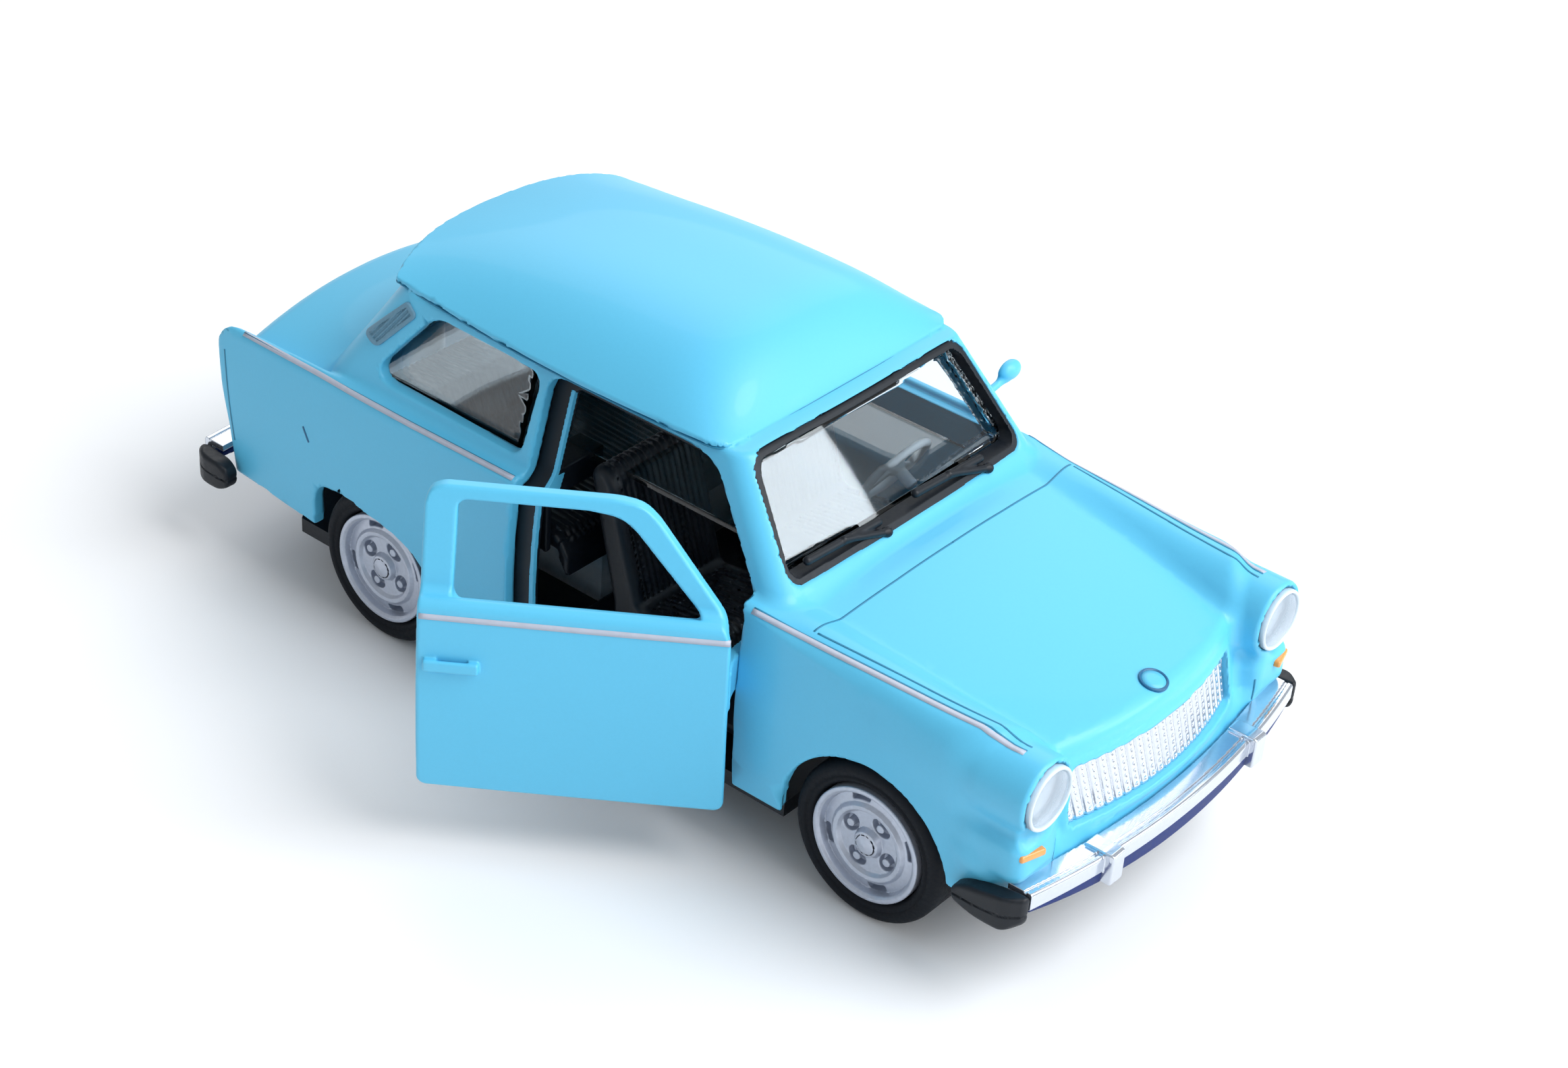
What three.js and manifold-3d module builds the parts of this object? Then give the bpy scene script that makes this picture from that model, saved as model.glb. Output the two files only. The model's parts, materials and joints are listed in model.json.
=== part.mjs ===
// Pull back car: a small die-cast two-door saloon with opening doors and a spring motor
// on its rear axle. Units are millimetres. +X is forward, +Y is the car's left, +Z is up.
// Every shape below is written with z = 0 on the ground, midway between the axles.
// The last lines lower the car so that the base plate's underside is at z = 0.

import * as THREE from 'three';
import { mergeVertices } from 'three/addons/utils/BufferGeometryUtils.js';
import Module from 'manifold-3d';

const wasm = await Module();
wasm.setup();

// ---- Driving dimensions -------------------------------------------------------------
const AXLE_X = 30.0;            // each axle's distance from the middle of the car
const WHEEL_R = 8.0;            // tyre radius, and so the height of the axles
const TYRE = { outer: 20.4, inner: 14.9, bore: 5.9 };
const RIM_FACE = 20.6;          // outermost face of the wheel rims
const AXLE_R = 0.9;
const RUNNING_GAP = 0.1;        // radial clearance of shafts in their holes
const FIT_GAP = 0.3;            // clearance between touching pieces
const BASE = { underside: 5.0, top: 6.6, halfWidth: 19.3, front: 44.0, rear: -47.5 };
const WALL = 1.3;               // body shell
const BODY = { front: 45.3, rear: -53.8, sill: 7.2, apron: 9.4 };
const SCREEN = { x: 17.5, z: 27.2, lean: -0.771 };       // windscreen plane
const BACKLIGHT = { x: -40.3, z: 25.0, lean: 0.648 };    // rear screen plane
const CABIN = { halfWidth: 18.4, z: 28.0, lean: -0.284 };
const ROOF = { rim: 37.2, crown: 5.15, front: 8.0, peak: -14.0, rear: -36.5, halfWidth: 17.05 };
const DOOR = {
  front: 15.2, rear: -12.0, bottom: 7.0, belt: 26.0, top: 35.4, topFront: 7.3, skin: 1.2,
};
const DOOR_GAP = 0.4;
const HINGE = { x: 21.5, y: 19.5, pinR: 0.5, low: 17.6, high: 21.4 };
const HINGE_ARM = { legDeg: 220, innerR: 6.4, outerR: 7.4, halfWidth: 0.5, eyeR: 1.1 };
const DOOR_REST_DEG = 36;       // the right door stands open
const LAMP = { x: 46.2, y: 18.0, z: 20.9, podR: 3.5, lensR: 2.9 };
const SCREW_R = 0.9;
const SCREWS = [                // roof: height at which each screw post meets the body
  { name: 'front_screw', x: 38.5, roof: 22.9 },
  { name: 'rear_screw', x: -44.5, roof: 26.6 }];
const NOSE = { reach: 1.8, bow: 0.0055, from: 38 };      // the front of the body bows forwards
const BUMPERS = [                // top: height of the ledge; reach: length past the body's skin
  { end: 'front', sign: 1, middle: 49.9, bow: 0.0055, top: 12.9, reach: 2.5 },
  { end: 'rear', sign: -1, middle: 55.6, bow: 0.0015, top: 12.2, reach: 2.7 }];
const BUMPER_HALF = 20.7;
const OVERRIDER_Y = 11.3;
const GRILLE = {
  x: 45.9, bow: 0.0104, low: 14.7, high: 19.2, halfLow: 12.4, halfHigh: 11.4, thick: 0.6,
};
const INDICATOR = { x: 46.3, y: 19.6, z: 15.9, halfWidth: 1.35, leanDeg: 16 };
const MODULE = 0.4;             // gear module of the motor

// ---- Colours ------------------------------------------------------------------------
const finish = (color, roughness, metalness = 0) =>
  new THREE.MeshStandardMaterial({ color, roughness, metalness });
const PAINT = finish(0x8fd8f0, 0.25, 0.1);
const BLACK_PLASTIC = finish(0x17181b, 0.6);
const RUBBER = finish(0x121213, 0.85);
const SILVER = finish(0xc3c6cc, 0.35, 0.7);
const CHROME = finish(0xe4e7ec, 0.12, 1.0);
const STEEL = finish(0x9ea2a8, 0.35, 1.0);
const CLEAR = finish(0xdfe9f0, 0.05);
const AMBER = finish(0xd9822b, 0.25);
const RED = finish(0xa51c1c, 0.25);
const PALE_PLASTIC = finish(0xcfd4d8, 0.45);
const WHITE_PLASTIC = finish(0xe9e6dc, 0.5);
CLEAR.transparent = true;
CLEAR.opacity = 0.35;

// ---- Solids -------------------------------------------------------------------------
function solid(geometry) {
  let plain = geometry.index ? geometry.toNonIndexed() : geometry.clone();
  plain.deleteAttribute('normal');
  plain.deleteAttribute('uv');
  plain = mergeVertices(plain, 1e-4);
  return new wasm.Manifold(new wasm.Mesh({
    numProp: 3,
    vertProperties: Float32Array.from(plain.attributes.position.array),
    triVerts: Uint32Array.from(plain.index.array),
  }));
}

function geometryOf(manifold) {
  const mesh = manifold.getMesh();
  const geometry = new THREE.BufferGeometry();
  geometry.setAttribute('position', new THREE.BufferAttribute(new Float32Array(mesh.vertProperties), 3));
  geometry.setIndex(new THREE.BufferAttribute(new Uint32Array(mesh.triVerts), 1));
  return geometry;
}

const join = (first, ...rest) => rest.reduce((sum, piece) => sum.add(piece), first);
const cut = (first, ...rest) => rest.reduce((left, piece) => left.subtract(piece), first);

function box(x0, x1, y0, y1, z0, z1) {
  const geometry = new THREE.BoxGeometry(x1 - x0, y1 - y0, z1 - z0);
  return solid(geometry.translate((x0 + x1) / 2, (y0 + y1) / 2, (z0 + z1) / 2));
}

// A cylinder along 'x', 'y' or 'z' from one coordinate to another; centre gives the other two.
function rod(axis, from, to, centre, radius, sides = 16, endRadius = radius) {
  const geometry = new THREE.CylinderGeometry(endRadius, radius, to - from, sides);
  const middle = (from + to) / 2;
  if (axis === 'x') geometry.rotateZ(-Math.PI / 2).translate(middle, centre[0], centre[1]);
  if (axis === 'y') geometry.translate(centre[0], middle, centre[1]);
  if (axis === 'z') geometry.rotateX(Math.PI / 2).translate(centre[0], centre[1], middle);
  return solid(geometry);
}

// An outline of [x, z] points, extruded across the car from y0 to y1.
function sidePlate(outline, y0, y1) {
  const shape = new THREE.Shape(outline.map(([x, z]) => new THREE.Vector2(x, z)));
  const geometry = new THREE.ExtrudeGeometry(shape, { depth: y1 - y0, bevelEnabled: false });
  return solid(geometry.rotateX(Math.PI / 2).translate(0, y1, 0));
}

// An outline of [y, z] points, extruded along the car from x0 to x1.
function frontPlate(outline, x0, x1) {
  const shape = new THREE.Shape(outline.map(([y, z]) => new THREE.Vector2(y, z)));
  const geometry = new THREE.ExtrudeGeometry(shape, { depth: x1 - x0, bevelEnabled: false });
  return solid(geometry.rotateX(Math.PI / 2).rotateZ(Math.PI / 2).translate(x0, 0, 0));
}

// An outline of [x, y] points, extruded upwards from z0 to z1.
function floorPlate(outline, z0, z1) {
  const shape = new THREE.Shape(outline.map(([x, y]) => new THREE.Vector2(x, y)));
  const geometry = new THREE.ExtrudeGeometry(shape, { depth: z1 - z0, bevelEnabled: false });
  return solid(geometry.translate(0, 0, z0));
}

// A closed skin through rings of equal length; the end rings close on their centres.
function loft(rings) {
  const points = rings.flat();
  const count = rings[0].length;
  const faces = [];
  for (let ring = 0; ring + 1 < rings.length; ring += 1) {
    for (let i = 0; i < count; i += 1) {
      const a = ring * count + i;
      const b = ring * count + (i + 1) % count;
      faces.push([a, b, b + count], [a, b + count, a + count]);
    }
  }
  for (const [ring, flip] of [[0, true], [rings.length - 1, false]]) {
    const middle = [0, 1, 2].map((k) => rings[ring].reduce((sum, p) => sum + p[k], 0) / count);
    points.push(middle);
    for (let i = 0; i < count; i += 1) {
      const a = ring * count + i;
      const b = ring * count + (i + 1) % count;
      faces.push(flip ? [points.length - 1, b, a] : [points.length - 1, a, b]);
    }
  }
  const volume = faces.reduce((sum, [a, b, c]) => {
    const [p, q, r] = [a, b, c].map((i) => new THREE.Vector3(...points[i]));
    return sum + p.dot(q.cross(r));
  }, 0);
  if (volume < 0) faces.forEach((face) => face.reverse());
  const geometry = new THREE.BufferGeometry();
  geometry.setAttribute('position', new THREE.Float32BufferAttribute(points.flat(), 3));
  geometry.setIndex(faces.flat());
  return solid(geometry);
}

// The same solid on the other side of the car.
function mirrored(manifold) {
  const geometry = geometryOf(manifold).scale(1, -1, 1);
  const index = geometry.index.array;
  for (let i = 0; i < index.length; i += 3) {
    [index[i], index[i + 1]] = [index[i + 1], index[i]];
  }
  return solid(geometry);
}

const onSide = (side, manifold) => (side > 0 ? manifold : mirrored(manifold));

// Straight-line interpolation through [x, value] knots in rising order of x.
function along(knots, x) {
  if (x <= knots[0][0]) return knots[0][1];
  for (let i = 1; i < knots.length; i += 1) {
    const [x0, v0] = knots[i - 1];
    const [x1, v1] = knots[i];
    if (x <= x1) return v0 + (v1 - v0) * (x - x0) / (x1 - x0);
  }
  return knots[knots.length - 1][1];
}

// ---- Body surfaces ------------------------------------------------------------------
// Half width of the lower body: barrel sides that taper a little to both ends.
function sideY(x, z) {
  const plan = 21.6 - (x > 0 ? 0.0002 : 0.00045) * x * x;
  const barrel = z > 15 ? 0.0075 : 0.005;
  return plan - barrel * (z - 15) ** 2;
}

// Height of the ridge along the top of the wings, doors and fins.
const ridgeZ = (x) => along([[-53.8, 24.6], [-53.0, 25.4], [-51.2, 25.9], [-45.5, 26.1], [-12, 26.9],
  [15, 26.2], [21, 26.0], [44, 24.9]], x);

// Height of the bonnet, the deck under the cabin and the boot lid.
function deckZ(x, y) {
  if (x > 21) {
    const run = x - 21;
    const bonnet = 26.3 - 0.12 * run - 0.0019 * run * run - 0.004 * y * y;
    return Math.max(bonnet, ridgeZ(x) - 0.16 * (Math.abs(y) - 18.3) ** 2);
  }
  if (x < -38) {
    const boot = 27.9 - 0.0137 * (x + 40) ** 2 - 0.0095 * y * y;
    return Math.max(boot, ridgeZ(x) - 1.2 * (Math.abs(y) - 19.4) ** 2);
  }
  return Math.min(26.3, ridgeZ(x));
}

// One section of the lower body at x, pulled in by inset, standing on the height bottom.
function bodyRing(x, inset, bottom, drop = 0) {
  const edgeZ = ridgeZ(x) - drop;
  const levels = [bottom, 12, 17, 22, edgeZ - 1.2];
  const half = levels.map((z) => [sideY(x, z) - inset, Math.min(z, edgeZ - inset)]);
  const edgeY = sideY(x, edgeZ);
  half.push([edgeY - 0.35 - inset, edgeZ - 0.35 - inset]);
  for (const offset of [1.0, 2.4, 4.4, 9.0]) {
    const y = edgeY - offset;
    half.push([y - inset, deckZ(x, y) - drop - inset]);
  }
  const top = [0, deckZ(x, 0) - drop - inset];
  const left = half.map(([y, z]) => [x, y, z]);
  const right = half.map(([y, z]) => [x, -y, z]).reverse();
  return [...left, [x, ...top], ...right];
}

function lowerBody(inset, front, rear, bottomAt) {
  const stations = inset > 0 ? [-49, -38.05, -37.95, -12, 15, 20.95, 21.05, 38]
    : [-53.0, -51.2, -48, -44, -38.05, -37.95, -12, 3, 15, 20.95, 21.05, 30, 38, 41.5, 44.3];
  const inner = stations.filter((x) => x > rear + 0.3 && x < front - 0.3);
  const rings = inner.map((x) => bodyRing(x, inset, bottomAt(x)));
  rings.unshift(bodyRing(rear, inset + 0.7, bottomAt(rear), 0.8));
  const last = bodyRing(front, inset + 0.7, bottomAt(front), 1.2);
  const middleZ = 16;
  const shrunk = [0.5, 0.15].map((share) =>
    last.map(([x, y, z]) => [x, y * share, middleZ + (z - middleZ) * share]));
  return loft([...rings, last, ...shrunk].map((ring) => ring.map(([x, y, z]) => {
    const share = Math.max(0, (x - NOSE.from) / (front - NOSE.from));
    return [x + share ** 2 * (NOSE.reach - NOSE.bow * y * y), y, z];
  })));
}

// Plan of the cabin at height z as a closed ring with rounded corners.
function cabinRing(z, inset, endInset = inset) {
  const front = SCREEN.x + SCREEN.lean * (z - SCREEN.z) - endInset * 1.26;
  const rear = BACKLIGHT.x + BACKLIGHT.lean * (z - BACKLIGHT.z) + endInset * 1.19;
  const half = CABIN.halfWidth + CABIN.lean * (z - CABIN.z) - inset;
  const quarter = (x, sx, radius) => [0, 30, 60, 90].map((deg) => {
    const turn = deg * Math.PI / 180;
    return [x - sx * radius * (1 - Math.cos(turn)), half - radius * (1 - Math.sin(turn))];
  });
  const left = [[rear - 1.0, 6], [rear - 0.5, 11], ...quarter(rear, -1, 2.6), [-10, half],
    ...quarter(front, 1, 1.6).reverse(), [front + 0.2, 7]];
  const right = left.map(([x, y]) => [x, -y]).reverse();
  return [...left, ...right].map(([x, y]) => [x, y, z]);
}

const cabin = (inset, low, high, endInset) =>
  loft([low, 28, 32, high].map((z) => cabinRing(z, inset, endInset)));

// Dome of the roof: nearly flat, rolling down to a rim that overhangs the cabin.
function roof(inset, under) {
  const stations = [7.97, 7.2, 5.4, 1.5, -5, ROOF.peak, -24, -30, -33, -35, -36.2];
  const rings = stations.map((station) => {
    const x = station > ROOF.peak ? station - inset * 0.9 : station + inset * 0.9;
    const backEdge = Math.sqrt(Math.max((station - ROOF.rear + 0.1) / 0.0155, 1));
    const half = Math.min(ROOF.halfWidth - 0.0027 * (station + 8) ** 2, backEdge) - inset;
    const reach = station > ROOF.peak
      ? Math.sqrt(Math.max(0, 1 - ((station - ROOF.peak) / (ROOF.front - ROOF.peak)) ** 3))
      : 1 - 0.62 * ((ROOF.peak - station) / (ROOF.peak - ROOF.rear)) ** 4;
    const height = ROOF.rim + 0.15 - inset * 0.8 + (ROOF.crown - inset * 0.4) * reach;
    const rim = ROOF.rim - (inset > 0 ? 1 : 0);
    const left = [1, 0.97, 0.89, 0.74, 0.42].map((share) =>
      [x, half * share, rim + (height - rim) * Math.sqrt(1 - share ** 4) + 0.02]);
    const right = left.map(([px, y, z]) => [px, -y, z]).reverse();
    return [[x, half - 0.2, under], ...left, [x, 0, height], ...right, [x, 0.2 - half, under]];
  });
  return loft(rings);
}

// ---- Doors --------------------------------------------------------------------------
// Side outline of a door, grown by gap all round.
const doorOutline = (gap) => [
  [DOOR.front + gap - 0.8, DOOR.bottom - gap], [DOOR.front + gap, DOOR.bottom - gap + 0.8],
  [DOOR.front + gap, DOOR.belt + gap * 0.4], [DOOR.topFront + gap + 0.4, DOOR.top + gap - 0.5],
  [DOOR.topFront + gap - 0.6, DOOR.top + gap], [DOOR.rear - gap + 1.4, DOOR.top + gap],
  [DOOR.rear - gap, DOOR.top + gap - 1.4], [DOOR.rear - gap, DOOR.bottom - gap + 0.8],
  [DOOR.rear - gap + 0.8, DOOR.bottom - gap]];

const doorWindow = [[11.2, 27.3], [5.1, 33.7], [4.2, 34.2], [-8.2, 34.2], [-9.0, 33.4], [-9.2, 27.3]];

// Outer form of the whole car body, pulled in by inset.
function bodyForm(inset) {
  const bottomAt = (x) => (inset > 0 ? 0 : along([[-54, 9.8], [-46.5, 9.5], [-39.8, 8.9], [-39, BODY.sill],
    [40, BODY.sill], [40.5, BODY.apron]], x));
  const lower = lowerBody(inset, BODY.front - inset, BODY.rear + inset, bottomAt);
  return join(lower, cabin(inset, 24.5 - inset, 37.0));
}

const hingeArc = (from, to, radius) => {
  const steps = 6;
  return Array.from({ length: steps + 1 }, (_, i) => {
    const turn = (from + (to - from) * i / steps) * Math.PI / 180;
    return [HINGE.x + radius * Math.cos(turn), HINGE.y + radius * Math.sin(turn)];
  });
};

// Left door with its hooked hinge arm, which passes round the rear edge of the wing.
function leftDoor(outer, inner) {
  const skin = cut(outer, inner).intersect(sidePlate(doorOutline(0), 5, 30));
  const { legDeg, innerR, outerR, halfWidth, eyeR } = HINGE_ARM;
  const spread = halfWidth / outerR * 180 / Math.PI;
  const arc = floorPlate([...hingeArc(172, legDeg + spread, outerR),
    ...hingeArc(legDeg + spread, 172, innerR)], HINGE.low, HINGE.high);
  const leg = solid(new THREE.BoxGeometry(outerR - 0.9, 2 * halfWidth, HINGE.high - HINGE.low)
    .translate((outerR + 0.3) / 2, 0, (HINGE.high + HINGE.low) / 2)
    .rotateZ(legDeg * Math.PI / 180).translate(HINGE.x, HINGE.y, 0));
  const eye = rod('z', HINGE.low, HINGE.high, [HINGE.x, HINGE.y], eyeR);
  const bore = rod('z', HINGE.low - 1, HINGE.high + 1, [HINGE.x, HINGE.y], HINGE.pinR + RUNNING_GAP, 12);
  const room = join(inner, box(13, 25, 10, 20.9, 10, 30));
  const arm = cut(join(arc, leg, eye), bore).intersect(room);
  const handle = box(-11.4, -6.8, 20.4, 22.1, 19.2, 20.3);
  return join(cut(skin, sidePlate(doorWindow, 5, 30)), arm, handle);
}

// ---- Shell of the body --------------------------------------------------------------
const archOutline = () => {
  const arch = [[20.6, 0]];
  for (let deg = 180; deg >= 0; deg -= 15) {
    const turn = deg * Math.PI / 180;
    arch.push([AXLE_X + 0.2 + 9.1 * Math.cos(turn), WHEEL_R + 9.0 * Math.sin(turn)]);
  }
  return [...arch, [40.4, 5], [40.4, 0]];
};
const rearArchOutline = [[-38.7, 0], [-38.7, 13.0], [-37.5, 14.3], [-28.5, 14.4], [-24.4, 13.2],
  [-22.2, 11.0], [-20.9, 7.5], [-20.9, 0]];
const quarterWindow = [[-26.4, 35.3], [-31.3, 29.2], [-31.4, 28.5], [-30.7, 27.9], [-14.8, 27.4],
  [-13.9, 28.1], [-13.7, 34.6], [-14.4, 35.3]];
const innerDoorway = [[30, 9.4], [30, 34.4], [-8.4, 34.4], [-8.4, 9.4]];
const frameOutline = [[13.0, 7.3], [13.0, 26.2], [5.6, 34.8], [4.4, 36.9], [-15.0, 36.9], [-15.0, 7.3]];

// An opening through the windscreen (front) or the rear screen, rounded at its corners.
function screenOpening(front) {
  const outline = front
    ? [[-16.4, 28.2], [-15.6, 27.7], [15.6, 27.7], [16.4, 28.2], [14.4, 35.6], [13.4, 36.3], [-13.4, 36.3],
      [-14.4, 35.6]]
    : [[-15.8, 28.6], [-14.8, 27.9], [14.8, 27.9], [15.8, 28.6], [13.7, 34.9], [12.7, 35.6], [-12.7, 35.6],
      [-13.7, 34.9]];
  return front ? frontPlate(outline, 5, 25) : frontPlate(outline, -50, -28);
}

// Everything behind the rear face, which slopes forwards below the boot lid.
const behindRear = (depth) => sidePlate([[-70, -5], [-70, 18.5], [-53.9 + depth, 18.5],
  [-51.6 + depth, 12.6], [-50.2 + depth, 8], [-50.2 + depth, -5]], -30, 30);

// Bulge under each headlamp that carries the indicator.
const indicatorPod = () => floorPlate([[43.5, 15.4], [46.0, 16.0], [46.1, 18.2], [45.5, 20.4], [44.8, 21.4],
  [43.5, 21.5]], 14.6, 17.6);

const grilleOutline = (gap) => [
  [-GRILLE.halfLow - gap, GRILLE.low - gap], [GRILLE.halfLow + gap, GRILLE.low - gap],
  [GRILLE.halfHigh + gap, GRILLE.high + gap], [-GRILLE.halfHigh - gap, GRILLE.high + gap],
];

function bodyShell(outer, skinInner, frameInner) {
  const lowerCavity = lowerBody(WALL, BODY.front - WALL, BODY.rear + WALL, () => 0);
  const cavity = join(cut(lowerCavity, behindRear(WALL)), cabin(WALL, 20, 37.2), roof(WALL, 35.5));
  const shell = cut(join(outer, roof(0, ROOF.rim - 0.45)), behindRear(0), cavity);
  const sides = [1, -1];
  const door = (outline, reach) => sides.map((side) => sidePlate(outline,
    side > 0 ? reach : -30, side > 0 ? 30 : -reach));
  const doorRecess = door(doorOutline(DOOR_GAP), 5).map((hole) => cut(hole, skinInner));
  const doorways = door(innerDoorway, 5);
  const frames = door(frameOutline, 5)
    .map((plate, i) => cut(plate.intersect(outer), frameInner, doorways[i]));
  let body = cut(join(shell, ...frames), ...doorRecess);

  const pods = sides.flatMap((side) => [
    rod('x', 38, LAMP.x, [side * LAMP.y, LAMP.z], LAMP.podR, 20), onSide(side, indicatorPod())]);
  body = join(body, ...pods);

  const wells = sides.flatMap((side) => [AXLE_X, -AXLE_X].map((x) => rod('y', side > 0 ? 13 : -20.75,
    side > 0 ? 20.75 : -13, [x, WHEEL_R], 9.1, 24)));
  const arches = [sidePlate(archOutline(), -30, 30), sidePlate(rearArchOutline, -30, 30)];
  const windows = door(quarterWindow, 5);
  const lampBores = sides.map((side) => rod('x', 43.4, 50, [side * LAMP.y, LAMP.z],
    LAMP.lensR + FIT_GAP, 20));
  const grilleHole = frontPlate(grilleOutline(FIT_GAP), 40, 50);
  const tailHoles = sides.map((side) => box(-60, -50, side > 0 ? 17.2 : -19.6,
    side > 0 ? 19.6 : -17.2, 14.2, 20.8));
  body = cut(body, ...wells, ...arches, ...windows, screenOpening(true), screenOpening(false),
    ...lampBores, grilleHole, ...tailHoles);

  // Hinge lugs, with the swept room of each arm cleared first.
  const sweep = sides.map((side) => rod('z', HINGE.low - 0.3, HINGE.high + 0.3,
    [HINGE.x, side * HINGE.y], 1.35, 16));
  const armRoom = sides.map((side) => rod('z', HINGE.low - 0.4, HINGE.high + 0.4,
    [HINGE.x, side * HINGE.y], HINGE_ARM.outerR + 0.5, 20).intersect(skinInner));
  const lugs = sides.flatMap((side) => [[HINGE.low - 1.3, HINGE.low - 0.3],
    [HINGE.high + 0.3, HINGE.high + 1.3]].map(([low, high]) => box(20.2, 22.8,
    side > 0 ? 18.2 : -20.6, side > 0 ? 20.6 : -18.2, low, high)));
  const pinHoles = sides.map((side) => rod('z', HINGE.low - 3, HINGE.high + 3,
    [HINGE.x, side * HINGE.y], HINGE.pinR + RUNNING_GAP, 12));
  body = cut(join(cut(body, ...sweep, ...armRoom), ...lugs), ...pinHoles);

  // Screw posts from the bonnet and the boot lid down to the base plate.
  for (const post of SCREWS) {
    const pillar = cut(rod('z', BASE.top + FIT_GAP, post.roof, [post.x, 0], 2.2, 16),
      rod('z', 0, BASE.top + 9, [post.x, 0], SCREW_R + RUNNING_GAP, 12));
    body = join(body, pillar);
  }
  return body;
}

// ---- Glazing ------------------------------------------------------------------------
function glazing() {
  const inset = WALL + FIT_GAP;
  const outside = cabin(inset, 26.2, 36.5);
  const inside = cabin(inset + 0.8, 25, 35.7);
  const doorRoom = [[13.4, 24], [13.4, 26.2], [5.0, 37.5], [-15.4, 37.5], [-15.4, 24]];
  return cut(outside, inside, sidePlate(doorRoom, 12.8, 30), sidePlate(doorRoom, -30, -12.8));
}

// ---- Interior -----------------------------------------------------------------------
function interiorTub() {
  const floor = box(-9.6, 13.6, -17.6, 17.6, 9.0, 10.0);
  const benchSide = [[-9.4, 9.0], [-9.4, 17.0], [-11.0, 19.0], [-25.5, 19.6], [-28.6, 25.8],
    [-34.4, 25.2], [-34.4, 24.2], [-30.2, 24.8], [-26.4, 18.4], [-11.6, 17.8], [-10.6, 16.6],
    [-10.6, 9.0]];
  const bench = sidePlate(benchSide, -16.4, 16.4);
  const seatSide = [[8.0, 9.5], [8.6, 14.4], [7.4, 15.8], [-1.4, 14.8], [-5.8, 26.8], [-7.2, 27.8],
    [-8.4, 27.0], [-4.6, 13.6], [-4.6, 9.5]];
  const seats = [sidePlate(seatSide, 3.0, 15.2), sidePlate(seatSide, -15.2, -3.0)];
  return join(floor, bench, ...seats);
}

const dashboard = () => sidePlate([[18.9, 18.6], [18.9, 22.4], [17.2, 24.2], [12.6, 24.2], [11.8, 23.4],
  [12.4, 19.4], [13.6, 18.6]], -13.4, 13.4);

// Rim, three spokes and the column, leaning back towards the driver.
function steeringWheel() {
  const rim = solid(new THREE.TorusGeometry(3.9, 0.42, 5, 18).rotateY(Math.PI / 2));
  const spokes = [30, 150, 270].map((deg) => {
    const spoke = new THREE.BoxGeometry(0.5, 0.8, 3.9).translate(0, 0, 1.95);
    return solid(spoke.rotateX(deg * Math.PI / 180));
  });
  const column = rod('x', -0.6, 2.6, [0, 0], 0.7, 10);
  const wheel = geometryOf(join(rim, column, ...spokes));
  return solid(wheel.rotateY(0.5).translate(9.2, 8.0, 24.4));
}

// ---- Base plate and bumpers ---------------------------------------------------------
function basePlate() {
  const { halfWidth, front, rear } = BASE;
  const plate = floorPlate([[rear, -13], [rear + 4, -halfWidth + 1], [-39.6, -halfWidth + 1],
    [-39.6, -13.6], [-20.2, -13.6], [-20.2, -halfWidth], [20.2, -halfWidth], [20.2, -13.6],
    [39.6, -13.6], [39.6, -halfWidth + 2], [front - 2, -halfWidth + 2], [front, -12], [front, 12],
    [front - 2, halfWidth - 2], [39.6, halfWidth - 2], [39.6, 13.6], [20.2, 13.6], [20.2, halfWidth],
    [-20.2, halfWidth], [-20.2, 13.6], [-39.6, 13.6], [-39.6, halfWidth - 1],
    [rear + 4, halfWidth - 1], [rear, 13]], BASE.underside, BASE.top);
  const bearings = [[AXLE_X, 11.4], [-AXLE_X, 11.4]].flatMap(([x, y]) => [1, -1].map((side) =>
    box(x - 2, x + 2, side > 0 ? y : -y - 1.6, side > 0 ? y + 1.6 : -y, BASE.underside + 1, 10.6)));
  const bores = [AXLE_X, -AXLE_X].map((x) => rod('y', -20, 20, [x, WHEEL_R], AXLE_R + RUNNING_GAP, 16));
  const motorWindow = box(-34.0, -12.8, -8.0, 8.0, 0, 12);
  const screwHoles = SCREWS.flatMap(({ x }) => [
    rod('z', 0, 20, [x, 0], SCREW_R + RUNNING_GAP, 12),
    rod('z', 0, BASE.underside + 1.0, [x, 0], 2.2, 16)]);
  return cut(cut(join(plate, ...bearings), motorWindow), ...bores, ...screwHoles);
}

// A strip across the car: section(y) gives its [x, z] outline at each of a row of y stations.
function crossLoft(half, section) {
  const steps = 12;
  return loft(Array.from({ length: steps + 1 }, (_, i) => {
    const y = half * (2 * i / steps - 1);
    return section(y).map(([x, z]) => [x, y, z]);
  }));
}

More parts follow.
